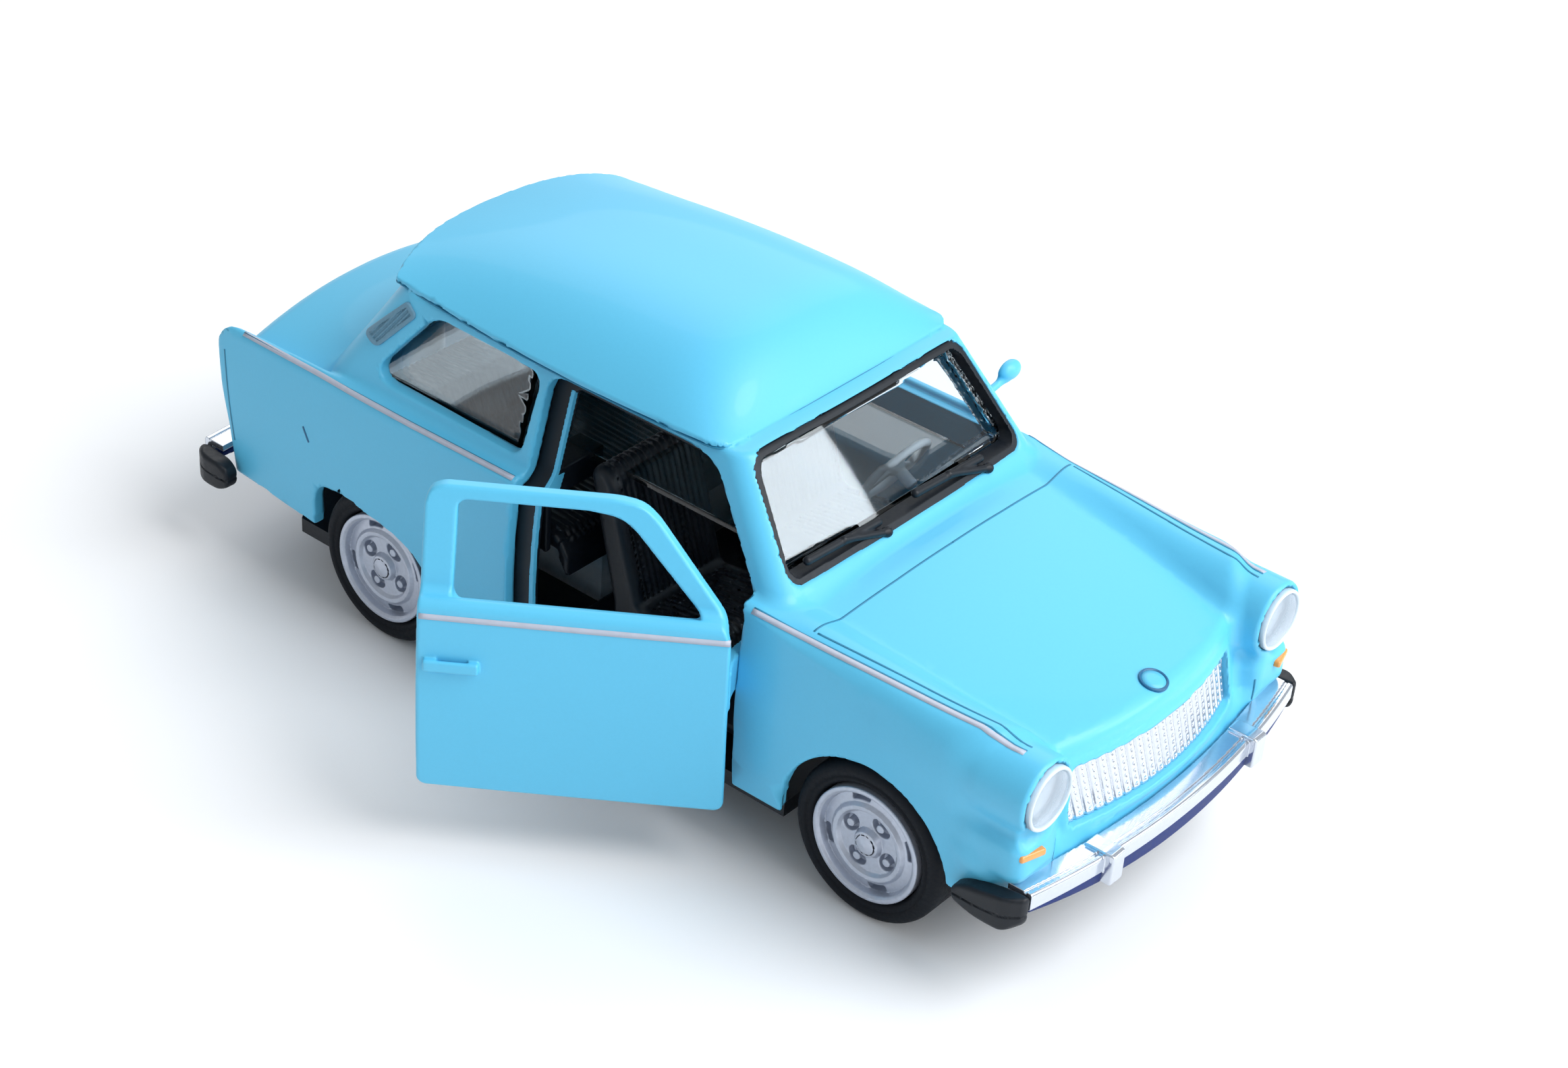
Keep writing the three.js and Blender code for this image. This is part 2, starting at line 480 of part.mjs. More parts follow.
// A bumper bar: ledge on top, upright face, and a lower lip that recedes and dies out at the ends.
function bumperBar({ sign, middle, bow, top, reach }) {
  const face = crossLoft(BUMPER_HALF, (y) => {
    const x = middle - bow * y * y;
    const low = top - 3.4 + 1.4 * (y / BUMPER_HALF) ** 2;
    return [[x - reach, top - 0.7], [x - reach, top], [x - 0.3, top], [x, top - 0.3], [x, top - 1.6],
      [x - 0.3, top - 1.8], [x - 0.9, low], [x - 1.6, low], [x - 1.6, top - 0.7]]
      .map(([px, z]) => [sign * px, z]);
  });
  const faceX = middle - bow * OVERRIDER_Y ** 2;
  const overriders = [1, -1].map((side) => {
    const outline = [[faceX - reach + 0.2, top - 0.2], [faceX - reach + 0.2, top + 0.35],
      [faceX + 0.5, top + 0.35], [faceX + 0.8, top], [faceX + 0.8, top - 2.4],
      [faceX + 0.4, top - 2.9], [faceX - 0.6, top - 2.9],
      [faceX - 0.6, top - 0.2]].map(([x, z]) => [sign * x, z]);
    return sidePlate(outline, side * OVERRIDER_Y - 0.9, side * OVERRIDER_Y + 0.9);
  });
  const brackets = [1, -1].map((side) => {
    const [near, far] = [sign * (middle - 10), sign * (middle - 1.2)].sort((a, b) => a - b);
    return box(near, far, side * 7.6 - 1.4, side * 7.6 + 1.4, 7.0, top - 3.0);
  });
  return join(face, ...overriders, ...brackets);
}

// Black end piece that wraps round the body's corner.
function bumperCorner({ sign, middle, bow, top }, side) {
  const endX = middle - bow * BUMPER_HALF ** 2;
  const y = BUMPER_HALF + FIT_GAP;
  const tail = sign > 0 ? endX - 7.2 : endX - 5.2;
  const outline = [[endX - 0.1, y], [endX - 0.6, y + 1.1], [endX - 1.6, y + 1.7], [endX - 3.2, y + 1.9],
    [tail + 0.8, y + 1.8], [tail, y + 1.3], [tail, y + 0.7], [endX - 3.2, y + 0.5], [endX - 2.0, y + 0.2],
    [endX - 1.6, y]];
  const block = floorPlate(outline.map(([x, py]) => [sign * x, side * py]), top - 3.7, top);
  const profile = [[tail - 1, top - 3.0], [tail - 1, top - 2.4], [tail + 1.5, top - 1.6],
    [endX - 2.5, top - 0.4], [endX + 1, top - 0.1], [endX + 1, top - 2.2],
    [endX - 1.5, top - 3.7], [tail + 1.5, top - 3.7]];
  return block.intersect(sidePlate(profile.map(([x, z]) => [sign * x, z]), -40, 40));
}

// ---- Wheels and motor ---------------------------------------------------------------
// A closed ring turned about the wheel's axis; profile points are [radius, y].
function turned(profile, x, side, segments = 20) {
  const points = [...profile, profile[0]].map(([radius, y]) => new THREE.Vector2(radius, y));
  const geometry = new THREE.LatheGeometry(points, segments);
  let ring = solid(geometry);
  if (ring.volume() < 0) ring = solid(new THREE.LatheGeometry(points.reverse(), segments));
  return onSide(side, solid(geometryOf(ring).translate(x, 0, WHEEL_R)));
}

const tyreProfile = [[TYRE.bore, TYRE.inner + 0.6], [7.0, TYRE.inner], [WHEEL_R, TYRE.inner + 0.9],
  [WHEEL_R, TYRE.outer - 0.9], [7.6, TYRE.outer - 0.2], [6.9, TYRE.outer], [TYRE.bore, TYRE.outer - 0.4]];
const rimProfile = [[AXLE_R + RUNNING_GAP, 16.0], [4.6, 16.0], [TYRE.bore - 0.15, 15.7],
  [TYRE.bore - 0.15, RIM_FACE - 0.15], [5.4, RIM_FACE], [4.9, 19.7], [2.0, 19.9], [1.7, RIM_FACE - 0.2],
  [AXLE_R + RUNNING_GAP, RIM_FACE - 0.2]];

// A wheel rim: turned dish, closing cap, four slots near its edge and four studs between them.
function wheelRim(x) {
  const around = (radius, offset) => [0, 1, 2, 3].map((i) => (i / 2 + offset) * Math.PI)
    .map((turn) => ({ turn, at: [x + radius * Math.cos(turn), WHEEL_R + radius * Math.sin(turn)] }));
  const slots = around(3.9, 0.25).map(({ turn, at }) => solid(new THREE.BoxGeometry(0.9, 0.5, 2.0)
    .rotateY(-turn).translate(at[0], 19.9, at[1])));
  const studs = around(2.9, 0).map(({ at }) => rod('y', 19.6, 20.2, at, 0.35, 8));
  const cap = rod('y', 19.7, RIM_FACE, [x, WHEEL_R], 1.5);
  return join(cut(turned(rimProfile, x, 1), ...slots), cap, ...studs);
}

// Outline of a gear with slim teeth, so that meshed pairs keep a generous backlash.
function gear(teeth, x, z, y0, y1, phase, bore) {
  const pitchR = MODULE * teeth / 2;
  const pitch = 2 * Math.PI / teeth;
  const outline = [];
  for (let tooth = 0; tooth < teeth; tooth += 1) {
    for (const [radius, share] of [[pitchR - 1.15 * MODULE, -0.29], [pitchR + 0.75 * MODULE, -0.08],
      [pitchR + 0.75 * MODULE, 0.08], [pitchR - 1.15 * MODULE, 0.29]]) {
      const turn = phase + (tooth + share) * pitch;
      outline.push([x + radius * Math.cos(turn), z + radius * Math.sin(turn)]);
    }
  }
  return bore ? cut(sidePlate(outline, y0, y1), rod('y', y0 - 1, y1 + 1, [x, z], bore, 12))
    : sidePlate(outline, y0, y1);
}

const stepFrom = (at, distance, rise) =>
  ({ x: at.x + Math.sqrt(distance ** 2 - rise ** 2), z: at.z + rise });
const REAR = { x: -AXLE_X, z: WHEEL_R };
const IDLER = stepFrom(REAR, MODULE * (10 + 18) / 2, 1.7);
const SPRING = stepFrom(IDLER, MODULE * (8 + 20) / 2, 1.4);
const directionTo = (from, to) => Math.atan2(to.z - from.z, to.x - from.x);
const MOTOR = { front: -13.4, rear: -33.3, low: 5.0, high: 16.4, half: 6.9, wall: 0.5 };

function motorHousing() {
  const { front, rear, low, high, half, wall } = MOTOR;
  const outside = box(rear, front, -half, half - 1.2, low, high);
  const inside = box(rear + wall, front - wall, -half + wall, half, low + wall, high - wall);
  const bores = [[REAR, AXLE_R], [IDLER, 0.6], [SPRING, 0.7]].map(([at, radius]) =>
    rod('y', -20, 20, [at.x, at.z], radius + RUNNING_GAP, 16));
  const cover = box(rear, front, half - 0.9, half, low, high);
  return { housing: cut(outside, inside, ...bores), cover: cut(cover, ...bores) };
}

// Flat strip wound in a spiral round the arbor.
function mainspring() {
  const turns = 4;
  const stepsPerTurn = 11;
  const steps = turns * stepsPerTurn;
  const spiral = (offset) => Array.from({ length: steps + 1 }, (_, i) => {
    const turn = i / stepsPerTurn * 2 * Math.PI;
    const radius = 1.05 + 0.85 * i / stepsPerTurn + offset;
    return [SPRING.x + radius * Math.cos(turn), SPRING.z + radius * Math.sin(turn)];
  });
  return sidePlate([...spiral(0.22), ...spiral(0).reverse()], 2.5, 5.0);
}

// ---- The car ------------------------------------------------------------------------
const car = new THREE.Group();
car.position.z = -BASE.underside;

function add(name, manifold, material, parent = car) {
  const mesh = new THREE.Mesh(geometryOf(manifold), material);
  mesh.name = name;
  parent.add(mesh);
}

const outerForm = bodyForm(0);
const skinInner = bodyForm(DOOR.skin + FIT_GAP);
const frameInner = bodyForm(DOOR.skin + FIT_GAP + 0.9);
const doorInner = bodyForm(DOOR.skin);

add('body_shell', bodyShell(outerForm, skinInner, frameInner), PAINT);

const door = leftDoor(outerForm, doorInner);
add('left_door', door, PAINT);
const rightDoorGroup = new THREE.Group();
rightDoorGroup.position.set(HINGE.x, -HINGE.y, 0);
rightDoorGroup.rotation.z = DOOR_REST_DEG * Math.PI / 180;
car.add(rightDoorGroup);
const rightDoor = solid(geometryOf(mirrored(door)).translate(-HINGE.x, HINGE.y, 0));
add('right_door', rightDoor, PAINT, rightDoorGroup);
const mirrorHead = solid(new THREE.SphereGeometry(1, 12, 8)
  .scale(0.9, 1.5, 1.0).translate(11.0, 23.1, 30.0));
add('left_door_mirror', join(mirrorHead, box(10.5, 11.5, 19.2, 22.8, 28.2, 29.2)), PAINT);
for (const [side, name] of [[1, 'left'], [-1, 'right']]) {
  add(`${name}_hinge_pin`, rod('z', HINGE.low - 1.5, HINGE.high + 1.5, [HINGE.x, side * HINGE.y],
    HINGE.pinR, 12), STEEL);
}

add('window_glazing', glazing(), CLEAR);
add('interior_tub', interiorTub(), BLACK_PLASTIC);
add('dashboard', dashboard(), BLACK_PLASTIC);
add('steering_wheel', steeringWheel(), PALE_PLASTIC);
add('base_plate', basePlate(), BLACK_PLASTIC);

for (const bumper of BUMPERS) {
  add(`${bumper.end}_bumper_bar`, bumperBar(bumper), CHROME);
  for (const [side, name] of [[1, 'left'], [-1, 'right']]) {
    add(`${bumper.end}_${name}_bumper_corner`, bumperCorner(bumper, side), BLACK_PLASTIC);
  }
}

const grilleBand = crossLoft(GRILLE.halfLow + 1, (y) => {
  const x = GRILLE.x - GRILLE.bow * y * y;
  return [[x, GRILLE.low - 1], [x + GRILLE.thick, GRILLE.low - 1], [x + GRILLE.thick, GRILLE.high + 1],
    [x, GRILLE.high + 1]];
});
add('grille', grilleBand.intersect(frontPlate(grilleOutline(0), 40, 50)), CHROME);
const badge = geometryOf(rod('z', 0, 0.35, [0, 0], 1.35, 20));
add('bonnet_badge', solid(badge.rotateY(0.22).translate(44.2, 0, 22.95)), SILVER);

for (const [side, name] of [[1, 'left'], [-1, 'right']]) {
  const lamp = [side * LAMP.y, LAMP.z];
  const dome = join(rod('x', 45.2, 46.3, lamp, LAMP.lensR, 20),
    rod('x', 46.3, 46.8, lamp, LAMP.lensR, 20, 1.5));
  add(`${name}_headlamp_lens`, dome, CLEAR);
  const cup = cut(rod('x', 43.7, 44.9, lamp, LAMP.lensR, 20), rod('x', 44.2, 45, lamp, 1.2, 20, 2.3));
  add(`${name}_headlamp_reflector`, cup, CHROME);
  const strip = solid(new THREE.BoxGeometry(0.6, 2 * INDICATOR.halfWidth, 0.9)
    .rotateZ(INDICATOR.leanDeg * Math.PI / 180).translate(INDICATOR.x, INDICATOR.y, INDICATOR.z));
  add(`${name}_indicator`, onSide(side, strip), AMBER);
  add(`${name}_tail_lamp`, onSide(side, box(-54.3, -52.9, 17.5, 19.3, 14.5, 20.5)), RED);
}

// Wipers lie just above the windscreen plane, each rising a little towards its tip.
const screenUp = new THREE.Vector3(SCREEN.lean, 0, 1).normalize();
const screenOut = new THREE.Vector3(1, 0, -SCREEN.lean).normalize();
const screenFrame = new THREE.Matrix4().makeBasis(screenUp, new THREE.Vector3(0, 1, 0), screenOut.negate());
for (const [name, startY] of [['left_wiper', 4.2], ['right_wiper', -8.6]]) {
  const arm = new THREE.BoxGeometry(0.4, 9.0, 0.35).translate(0, 4.5, 0).rotateZ(-0.13);
  arm.translate(1.2, startY, -0.6).applyMatrix4(screenFrame).translate(SCREEN.x, 0, SCREEN.z);
  add(name, solid(arm), BLACK_PLASTIC);
}

for (const [end, sign] of [['front', 1], ['rear', -1]]) {
  add(`${end}_axle`, rod('y', -19.4, 19.4, [sign * AXLE_X, WHEEL_R], AXLE_R, 16), STEEL);
  for (const [side, name] of [[1, 'left'], [-1, 'right']]) {
    add(`${end}_${name}_tyre`, turned(tyreProfile, sign * AXLE_X, side), RUBBER);
    add(`${end}_${name}_rim`, onSide(side, wheelRim(sign * AXLE_X)), SILVER);
  }
}

const { housing, cover } = motorHousing();
add('motor_case', housing, PALE_PLASTIC);
add('motor_cover', cover, PALE_PLASTIC);
const toIdler = directionTo(REAR, IDLER);
const toSpring = directionTo(IDLER, SPRING);
add('axle_pinion', gear(10, REAR.x, REAR.z, -4.0, -1.4, toIdler, AXLE_R + RUNNING_GAP), WHITE_PLASTIC);
const idlerWheel = gear(18, IDLER.x, IDLER.z, -3.9, -1.3, toIdler + Math.PI + Math.PI / 18, 0.7);
const idlerPinion = gear(8, IDLER.x, IDLER.z, -1.5, 1.9, toSpring, 0.7);
add('idler_gear', join(idlerWheel, idlerPinion), WHITE_PLASTIC);
add('idler_shaft', rod('y', -6.8, 6.8, [IDLER.x, IDLER.z], 0.6, 12), STEEL);
const springTurn = toSpring + Math.PI + Math.PI / 20;
add('spring_gear', gear(20, SPRING.x, SPRING.z, -0.8, 1.8, springTurn, 0.8), WHITE_PLASTIC);
add('spring_arbor', rod('y', -6.8, 6.8, [SPRING.x, SPRING.z], 0.7, 12), STEEL);
add('mainspring', mainspring(), STEEL);

for (const { name, x } of SCREWS) {
  const head = rod('z', BASE.underside + 0.05, BASE.underside + 0.9, [x, 0], 2.0, 16);
  const slot = box(x - 1.3, x + 1.3, -0.25, 0.25, 4, BASE.underside + 0.4);
  add(name, cut(join(head, rod('z', BASE.underside + 0.8, 15, [x, 0], SCREW_R, 12)), slot), STEEL);
}

export default car;
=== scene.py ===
"""Looks of the pull back car: a small die-cast saloon with opening doors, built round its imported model.

Shapes are written in millimetres with z = 0 on the ground, +x forwards and +y to the car's left,
and are put into the frame in metres. Rounded bodies are written as distance fields, negative inside.
"""

import json
import math

import bpy
import numpy as np
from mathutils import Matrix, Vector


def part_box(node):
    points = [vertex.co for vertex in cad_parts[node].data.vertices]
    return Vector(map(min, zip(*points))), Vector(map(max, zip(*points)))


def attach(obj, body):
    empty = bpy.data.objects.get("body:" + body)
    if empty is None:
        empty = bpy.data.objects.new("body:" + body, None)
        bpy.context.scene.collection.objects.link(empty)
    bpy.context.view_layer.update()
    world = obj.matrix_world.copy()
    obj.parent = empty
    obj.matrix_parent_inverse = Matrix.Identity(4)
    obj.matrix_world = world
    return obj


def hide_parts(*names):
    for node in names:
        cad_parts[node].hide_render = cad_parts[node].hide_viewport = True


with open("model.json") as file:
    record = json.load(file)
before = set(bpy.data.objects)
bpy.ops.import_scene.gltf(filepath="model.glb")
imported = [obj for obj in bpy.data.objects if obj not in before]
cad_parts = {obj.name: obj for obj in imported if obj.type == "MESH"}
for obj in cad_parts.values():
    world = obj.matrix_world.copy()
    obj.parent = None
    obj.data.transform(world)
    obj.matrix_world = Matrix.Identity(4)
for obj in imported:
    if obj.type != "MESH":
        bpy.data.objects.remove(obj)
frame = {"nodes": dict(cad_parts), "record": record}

import openvdb
from mathutils import Matrix, Vector

MM = 0.001
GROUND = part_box("front_left_tyre")[0].z / MM        # height of the floor in the frame
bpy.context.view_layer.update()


def node_box(node):
    """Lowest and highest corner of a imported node, in millimetres above the ground."""
    low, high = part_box(node)
    lift = np.array([0.0, 0.0, -GROUND])
    return np.array(low) / MM + lift, np.array(high) / MM + lift


def middle(node):
    """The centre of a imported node's box."""
    low, high = node_box(node)
    return (low + high) / 2


# ---- Driving dimensions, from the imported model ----
AXLE_X = middle("front_axle")[0]
WHEEL_R = middle("front_axle")[2]
TYRE_IN, TYRE_OUT = node_box("front_left_tyre")[0][1], node_box("front_left_tyre")[1][1]
RIM_FACE = node_box("front_left_rim")[1][1]
HINGE = middle("left_hinge_pin")
PIN_LOW, PIN_HIGH = node_box("left_hinge_pin")
ARM_LOW, ARM_HIGH = PIN_LOW[2] + 1.5, PIN_HIGH[2] - 1.5
LENS_LOW, LENS_HIGH = node_box("left_headlamp_lens")
LAMP = middle("left_headlamp_lens")
LAMP_R = LAMP[2] - LENS_LOW[2]
REST_TURN = math.radians(36.0)      # how far the right door stands open
WALL = 1.3
DOOR_SKIN = 1.2
DOOR_GAP = 0.35
RIM_R = 5.75
ARM = {"leg": 220, "inner": 6.4, "outer": 7.4, "eye": 1.1}       # hooked hinge arm of each door


# ---- Fields ----
def both(a, b, r=0.0):
    """Inside both fields, with their shared edge rounded to radius r."""
    if r == 0:
        return np.maximum(a, b)
    return np.minimum(np.maximum(a, b), -r) + np.hypot(np.maximum(a + r, 0), np.maximum(b + r, 0))


def either(a, b, r=0.0):
    """Inside either field, with the corner between them filled to radius r."""
    return -both(-a, -b, r)


def without(a, b, r=0.0):
    """Inside the first field and outside the second."""
    return both(a, -b, r)


def convex(points, u, v, r=0.0):
    """A convex outline, its points in anticlockwise order, with corners rounded to radius r."""
    field = None
    for (u0, v0), (u1, v1) in zip(points, points[1:] + points[:1]):
        length = math.hypot(u1 - u0, v1 - v0)
        edge = ((u - u0) * (v1 - v0) - (v - v0) * (u1 - u0)) / length
        field = edge if field is None else both(field, edge, r)
    return field


def block(x, y, z, low, high, r=0.0):
    """A box between two corners, with rounded edges."""
    sides = [np.abs(p - (lo + hi) / 2) - (hi - lo) / 2 for p, lo, hi in zip((x, y, z), low, high)]
    return both(both(sides[0], sides[1], r), sides[2], r)


def disc(u, v, centre, radius):
    return np.hypot(u - centre[0], v - centre[1]) - radius


def slab(p, low, high):
    return np.abs(p - (low + high) / 2) - (high - low) / 2


def capsule(x, y, z, start, end, radius):
    """A rod with round ends."""
    span = [b - a for a, b in zip(start, end)]
    off = [p - a for p, a in zip((x, y, z), start)]
    share = np.clip(sum(o * s for o, s in zip(off, span)) / sum(s * s for s in span), 0, 1)
    return np.sqrt(sum((o - share * s) ** 2 for o, s in zip(off, span))) - radius


def blend_knots(knots, x):
    """A value that runs straight from knot to knot."""
    return np.interp(x, [k[0] for k in knots], [k[1] for k in knots])


# ---- Body surfaces ----
RIDGE = [(-53.8, 25.8), (-50, 26.0), (-45.5, 26.15), (-12, 26.9), (15, 26.2), (21, 26.0), (44, 24.9),
         (48, 24.6)]
TAIL = [(8, -51.0), (12, -51.4), (15.2, -51.9), (19, -52.9), (23, -53.6), (27, -53.9)]
SCREEN = {"x": 17.5, "z": 27.2, "lean": -0.771}
BACKLIGHT = {"x": -40.3, "z": 25.0, "lean": 0.648}
SILL = [(-54, 9.9), (-46.5, 9.6), (-38.0, 9.0), (-37.0, 7.2), (38.8, 7.2), (39.0, 9.4)]
ROOF = {"rim": 37.0, "crown": 5.4, "front": 8.0, "peak": -5.0, "rear": -36.6, "half": 17.05}


def side_y(x, z):
    """How far the side stands from the middle."""
    plan = 21.6 - np.where(x > 0, 0.0002, 0.00045) * x * x
    return plan - np.where(z > 15, 0.0075, 0.005) * (z - 15) ** 2


def lower_form(x, y, z):
    """The body below the windows, without its underside; y is the distance from the middle."""
    ridge = blend_knots(RIDGE, x)
    run = np.maximum(x - 21, 0)
    bonnet = z - (26.3 - 0.12 * run - 0.0019 * run * run - 0.004 * y * y)
    wing = z - (ridge - 0.16 * (y - 18.3) ** 2)
    front = either(bonnet, wing, 1.0)
    boot = z - (27.9 - 0.0137 * (x + 40) ** 2 - 0.0095 * y * y)
    fin = z - (ridge - 1.2 * (y - 19.5) ** 2)
    back = either(boot, fin, 0.8)
    between = z - np.minimum(26.3, ridge)
    ahead, behind = np.clip((x - 16.5) / 4.5, 0, 1), np.clip((-34 - x) / 5, 0, 1)
    top = between * (1 - ahead - behind) + front * ahead + back * behind
    side = y - side_y(x, z)
    bow = blend_knots([(12.4, 0.0055), (14.6, 0.0122)], z)
    nose = x - (47.15 - bow * y * y - 0.2 * np.maximum(z - 14.5, 0) - 0.004 * np.maximum(15 - z, 0) ** 2)
    shape = both(top, both(side, nose * 0.95, 2.6), 0.8)
    tail = (blend_knots(TAIL, z) - 0.7 + 0.0017 * y * y - x) * 0.98
    return both(both(shape, tail, 0.7), both(top, tail, 3.4))


def cabin_form(x, y, z):
    """The cabin between the belt line and the roof's lip."""
    side = (y - (18.4 - 0.284 * (z - 28))) * 0.96
    front = (x - (SCREEN["x"] + SCREEN["lean"] * (z - SCREEN["z"]) + 0.25 * (1 - (y / 16) ** 2))) * 0.79
    bow = 1.0 * np.maximum(1 - (y / 15) ** 2, 0)
    back = (BACKLIGHT["x"] + BACKLIGHT["lean"] * (z - BACKLIGHT["z"]) - bow - x) * 0.84
    return both(both(both(both(side, front, 1.8), back, 2.8), z - ROOF["rim"] + 0.3, 0.4), 24.5 - z)


def roof_plan(x, y):
    """The roof's outline seen from above, with its front corners rounded."""
    front = x - (ROOF["front"] + 0.4 - 0.0008 * y * y)
    back = (ROOF["rear"] + 0.0155 * y * y - x) * 0.93
    return both(both(y - roof_half(x), front, 1.6), back, 0.3)


def roof_half(x):
    """Half the roof's width."""
    return ROOF["half"] - 0.0027 * (x + 8) ** 2


def roof_form(x, y, z):
    """A shallow dome with a crisp level lip, rolling down to the front, the sides and the back."""
    front_run, rear_run = ROOF["front"] - ROOF["peak"], ROOF["peak"] - ROOF["rear"]
    along = np.clip((x - ROOF["peak"]) / front_run, 0, 1.05)
    behind = np.clip((ROOF["peak"] - x) / rear_run, 0, 1.05)
    half = roof_half(x)
    u = np.clip(y / half, 0, 1.05)
    length = (1 - along ** 3.5) * (1 - 0.8 * behind ** 2)
    width = 1 - u ** 3
    top = z - (ROOF["rim"] + 0.1 + ROOF["crown"] * length * width)
    slope_x = ROOF["crown"] * width * (3.5 * along ** 2.5 / front_run + 1.6 * behind / rear_run)
    slope_y = ROOF["crown"] * length * 3 * u ** 2 / half
    dome = top / np.sqrt(1 + slope_x ** 2 + slope_y ** 2)
    return both(both(dome, roof_plan(x, y), 0.12), ROOF["rim"] - 0.3 - z, 0.1)


def lip_shadow_field(x, y, z):
    """A fine dark line round the foot of the roof's lip: painted shadow under the lip."""
    plan = roof_plan(x, np.abs(y))
    return both(both(plan - 0.03, -(plan + 0.6)), slab(z, ROOF["rim"] - 0.42, ROOF["rim"] - 0.28))


def outer_form(x, y, z):
    """Body, cabin and roof together."""
    lower = lower_form(x, y, z)
    return either(either(lower, cabin_form(x, y, z), 0.7), roof_form(x, y, z), 0.1)


# Outlines of the openings, as (x, z) points for the sides and (y, z) points for the screens and the grille.
DOOR = {"front": 15.2, "rear": -12.0, "bottom": 7.0, "belt": 25.4, "top": 35.4, "top_front": 7.2}


def door_outline(gap):
    """The door's edge, moved out by a gap."""
    front, rear, top_front = DOOR["front"] + gap, DOOR["rear"] - gap, DOOR["top_front"] + gap
    bottom, top = DOOR["bottom"] - gap, DOOR["top"] + gap
    return [(front, bottom), (front - 0.3, DOOR["belt"] + 0.4 * gap), (top_front, top - 0.5),
            (top_front - 1.2, top), (rear + 0.8, top), (rear, top - 0.8), (rear, bottom)]


DOOR_WINDOW = [(12.6, 25.7), (5.2, 33.8), (4.0, 34.2), (-9.1, 34.2), (-9.2, 25.7)]
QUARTER_WINDOW = [(-13.7, 27.3), (-13.2, 35.2), (-26.9, 35.6), (-32.6, 28.6), (-32.0, 27.6)]
DOORWAY = [(30, 9.0), (30, 34.6), (-10.2, 34.6), (-10.2, 9.0)]
DOOR_FRAME = [(13.0, 7.3), (13.0, 25.6), (5.2, 34.6), (4.4, 36.4), (-14.6, 36.4), (-14.6, 7.3)]
FRONT_SCREEN = [(-17.1, 27.0), (17.1, 27.0), (14.8, 36.5), (-14.8, 36.5)]
REAR_SCREEN = [(-15.9, 28.1), (15.9, 28.1), (13.6, 35.5), (-13.6, 35.5)]
REAR_ARCH = [(-20.9, 0), (-20.9, 7.5), (-22.2, 11.0), (-24.4, 13.1), (-28.5, 14.4), (-38.7, 14.4), (-38.7, 0)]
GRILLE = {"low": 14.2, "high": 19.7, "half_low": 12.7, "half_high": 12.1}


def grille_outline(grow):
    """The grille's edge, moved out by a distance."""
    low, high = GRILLE["low"] - grow, GRILLE["high"] + grow
    half_low, half_high = GRILLE["half_low"] + grow, GRILLE["half_high"] + grow
    return [(-half_low, low), (half_low, low), (half_high, high), (-half_high, high)]


def dressed_form(x, y, z):
    """The outer form with the headlamp pods, the bulge under each, and the lip round the grille."""
    y = np.abs(y)
    form = outer_form(x, y, z)
    pod = both(disc(y, z, LAMP[1:], LAMP_R + 0.75 - 0.11 * np.maximum(41 - x, 0)), slab(x, 30, 46.1), 0.5)
    form = either(form, pod, 1.6)
    bulge = block(x, y, z, (40, 15.2, 12.6), (46.3, 21.3, 17.4), 1.4)
    form = either(form, bulge, 1.6)
    scoop = np.sqrt((x - 46.6) ** 2 / 1.7 + (y - 19.4) ** 2 / 5.0 + (z - 17.9) ** 2 / 1.6) * 1.2 - 1.2
    form = without(form, scoop, 0.5)
    lip_face = 47.35 - 0.0122 * y * y - 0.2 * np.maximum(z - 14.5, 0)
    lip = both(convex(grille_outline(0.7), y, z, 0.9), slab(x, 40, lip_face), 0.3)
    return either(form, lip, 0.4)


POST = {"r": 2.2, "foot": 6.9, "bore": 1.0, "bore_top": 15.6}
POST_TOPS = {"front_screw": 23.5, "rear_screw": 26.9}


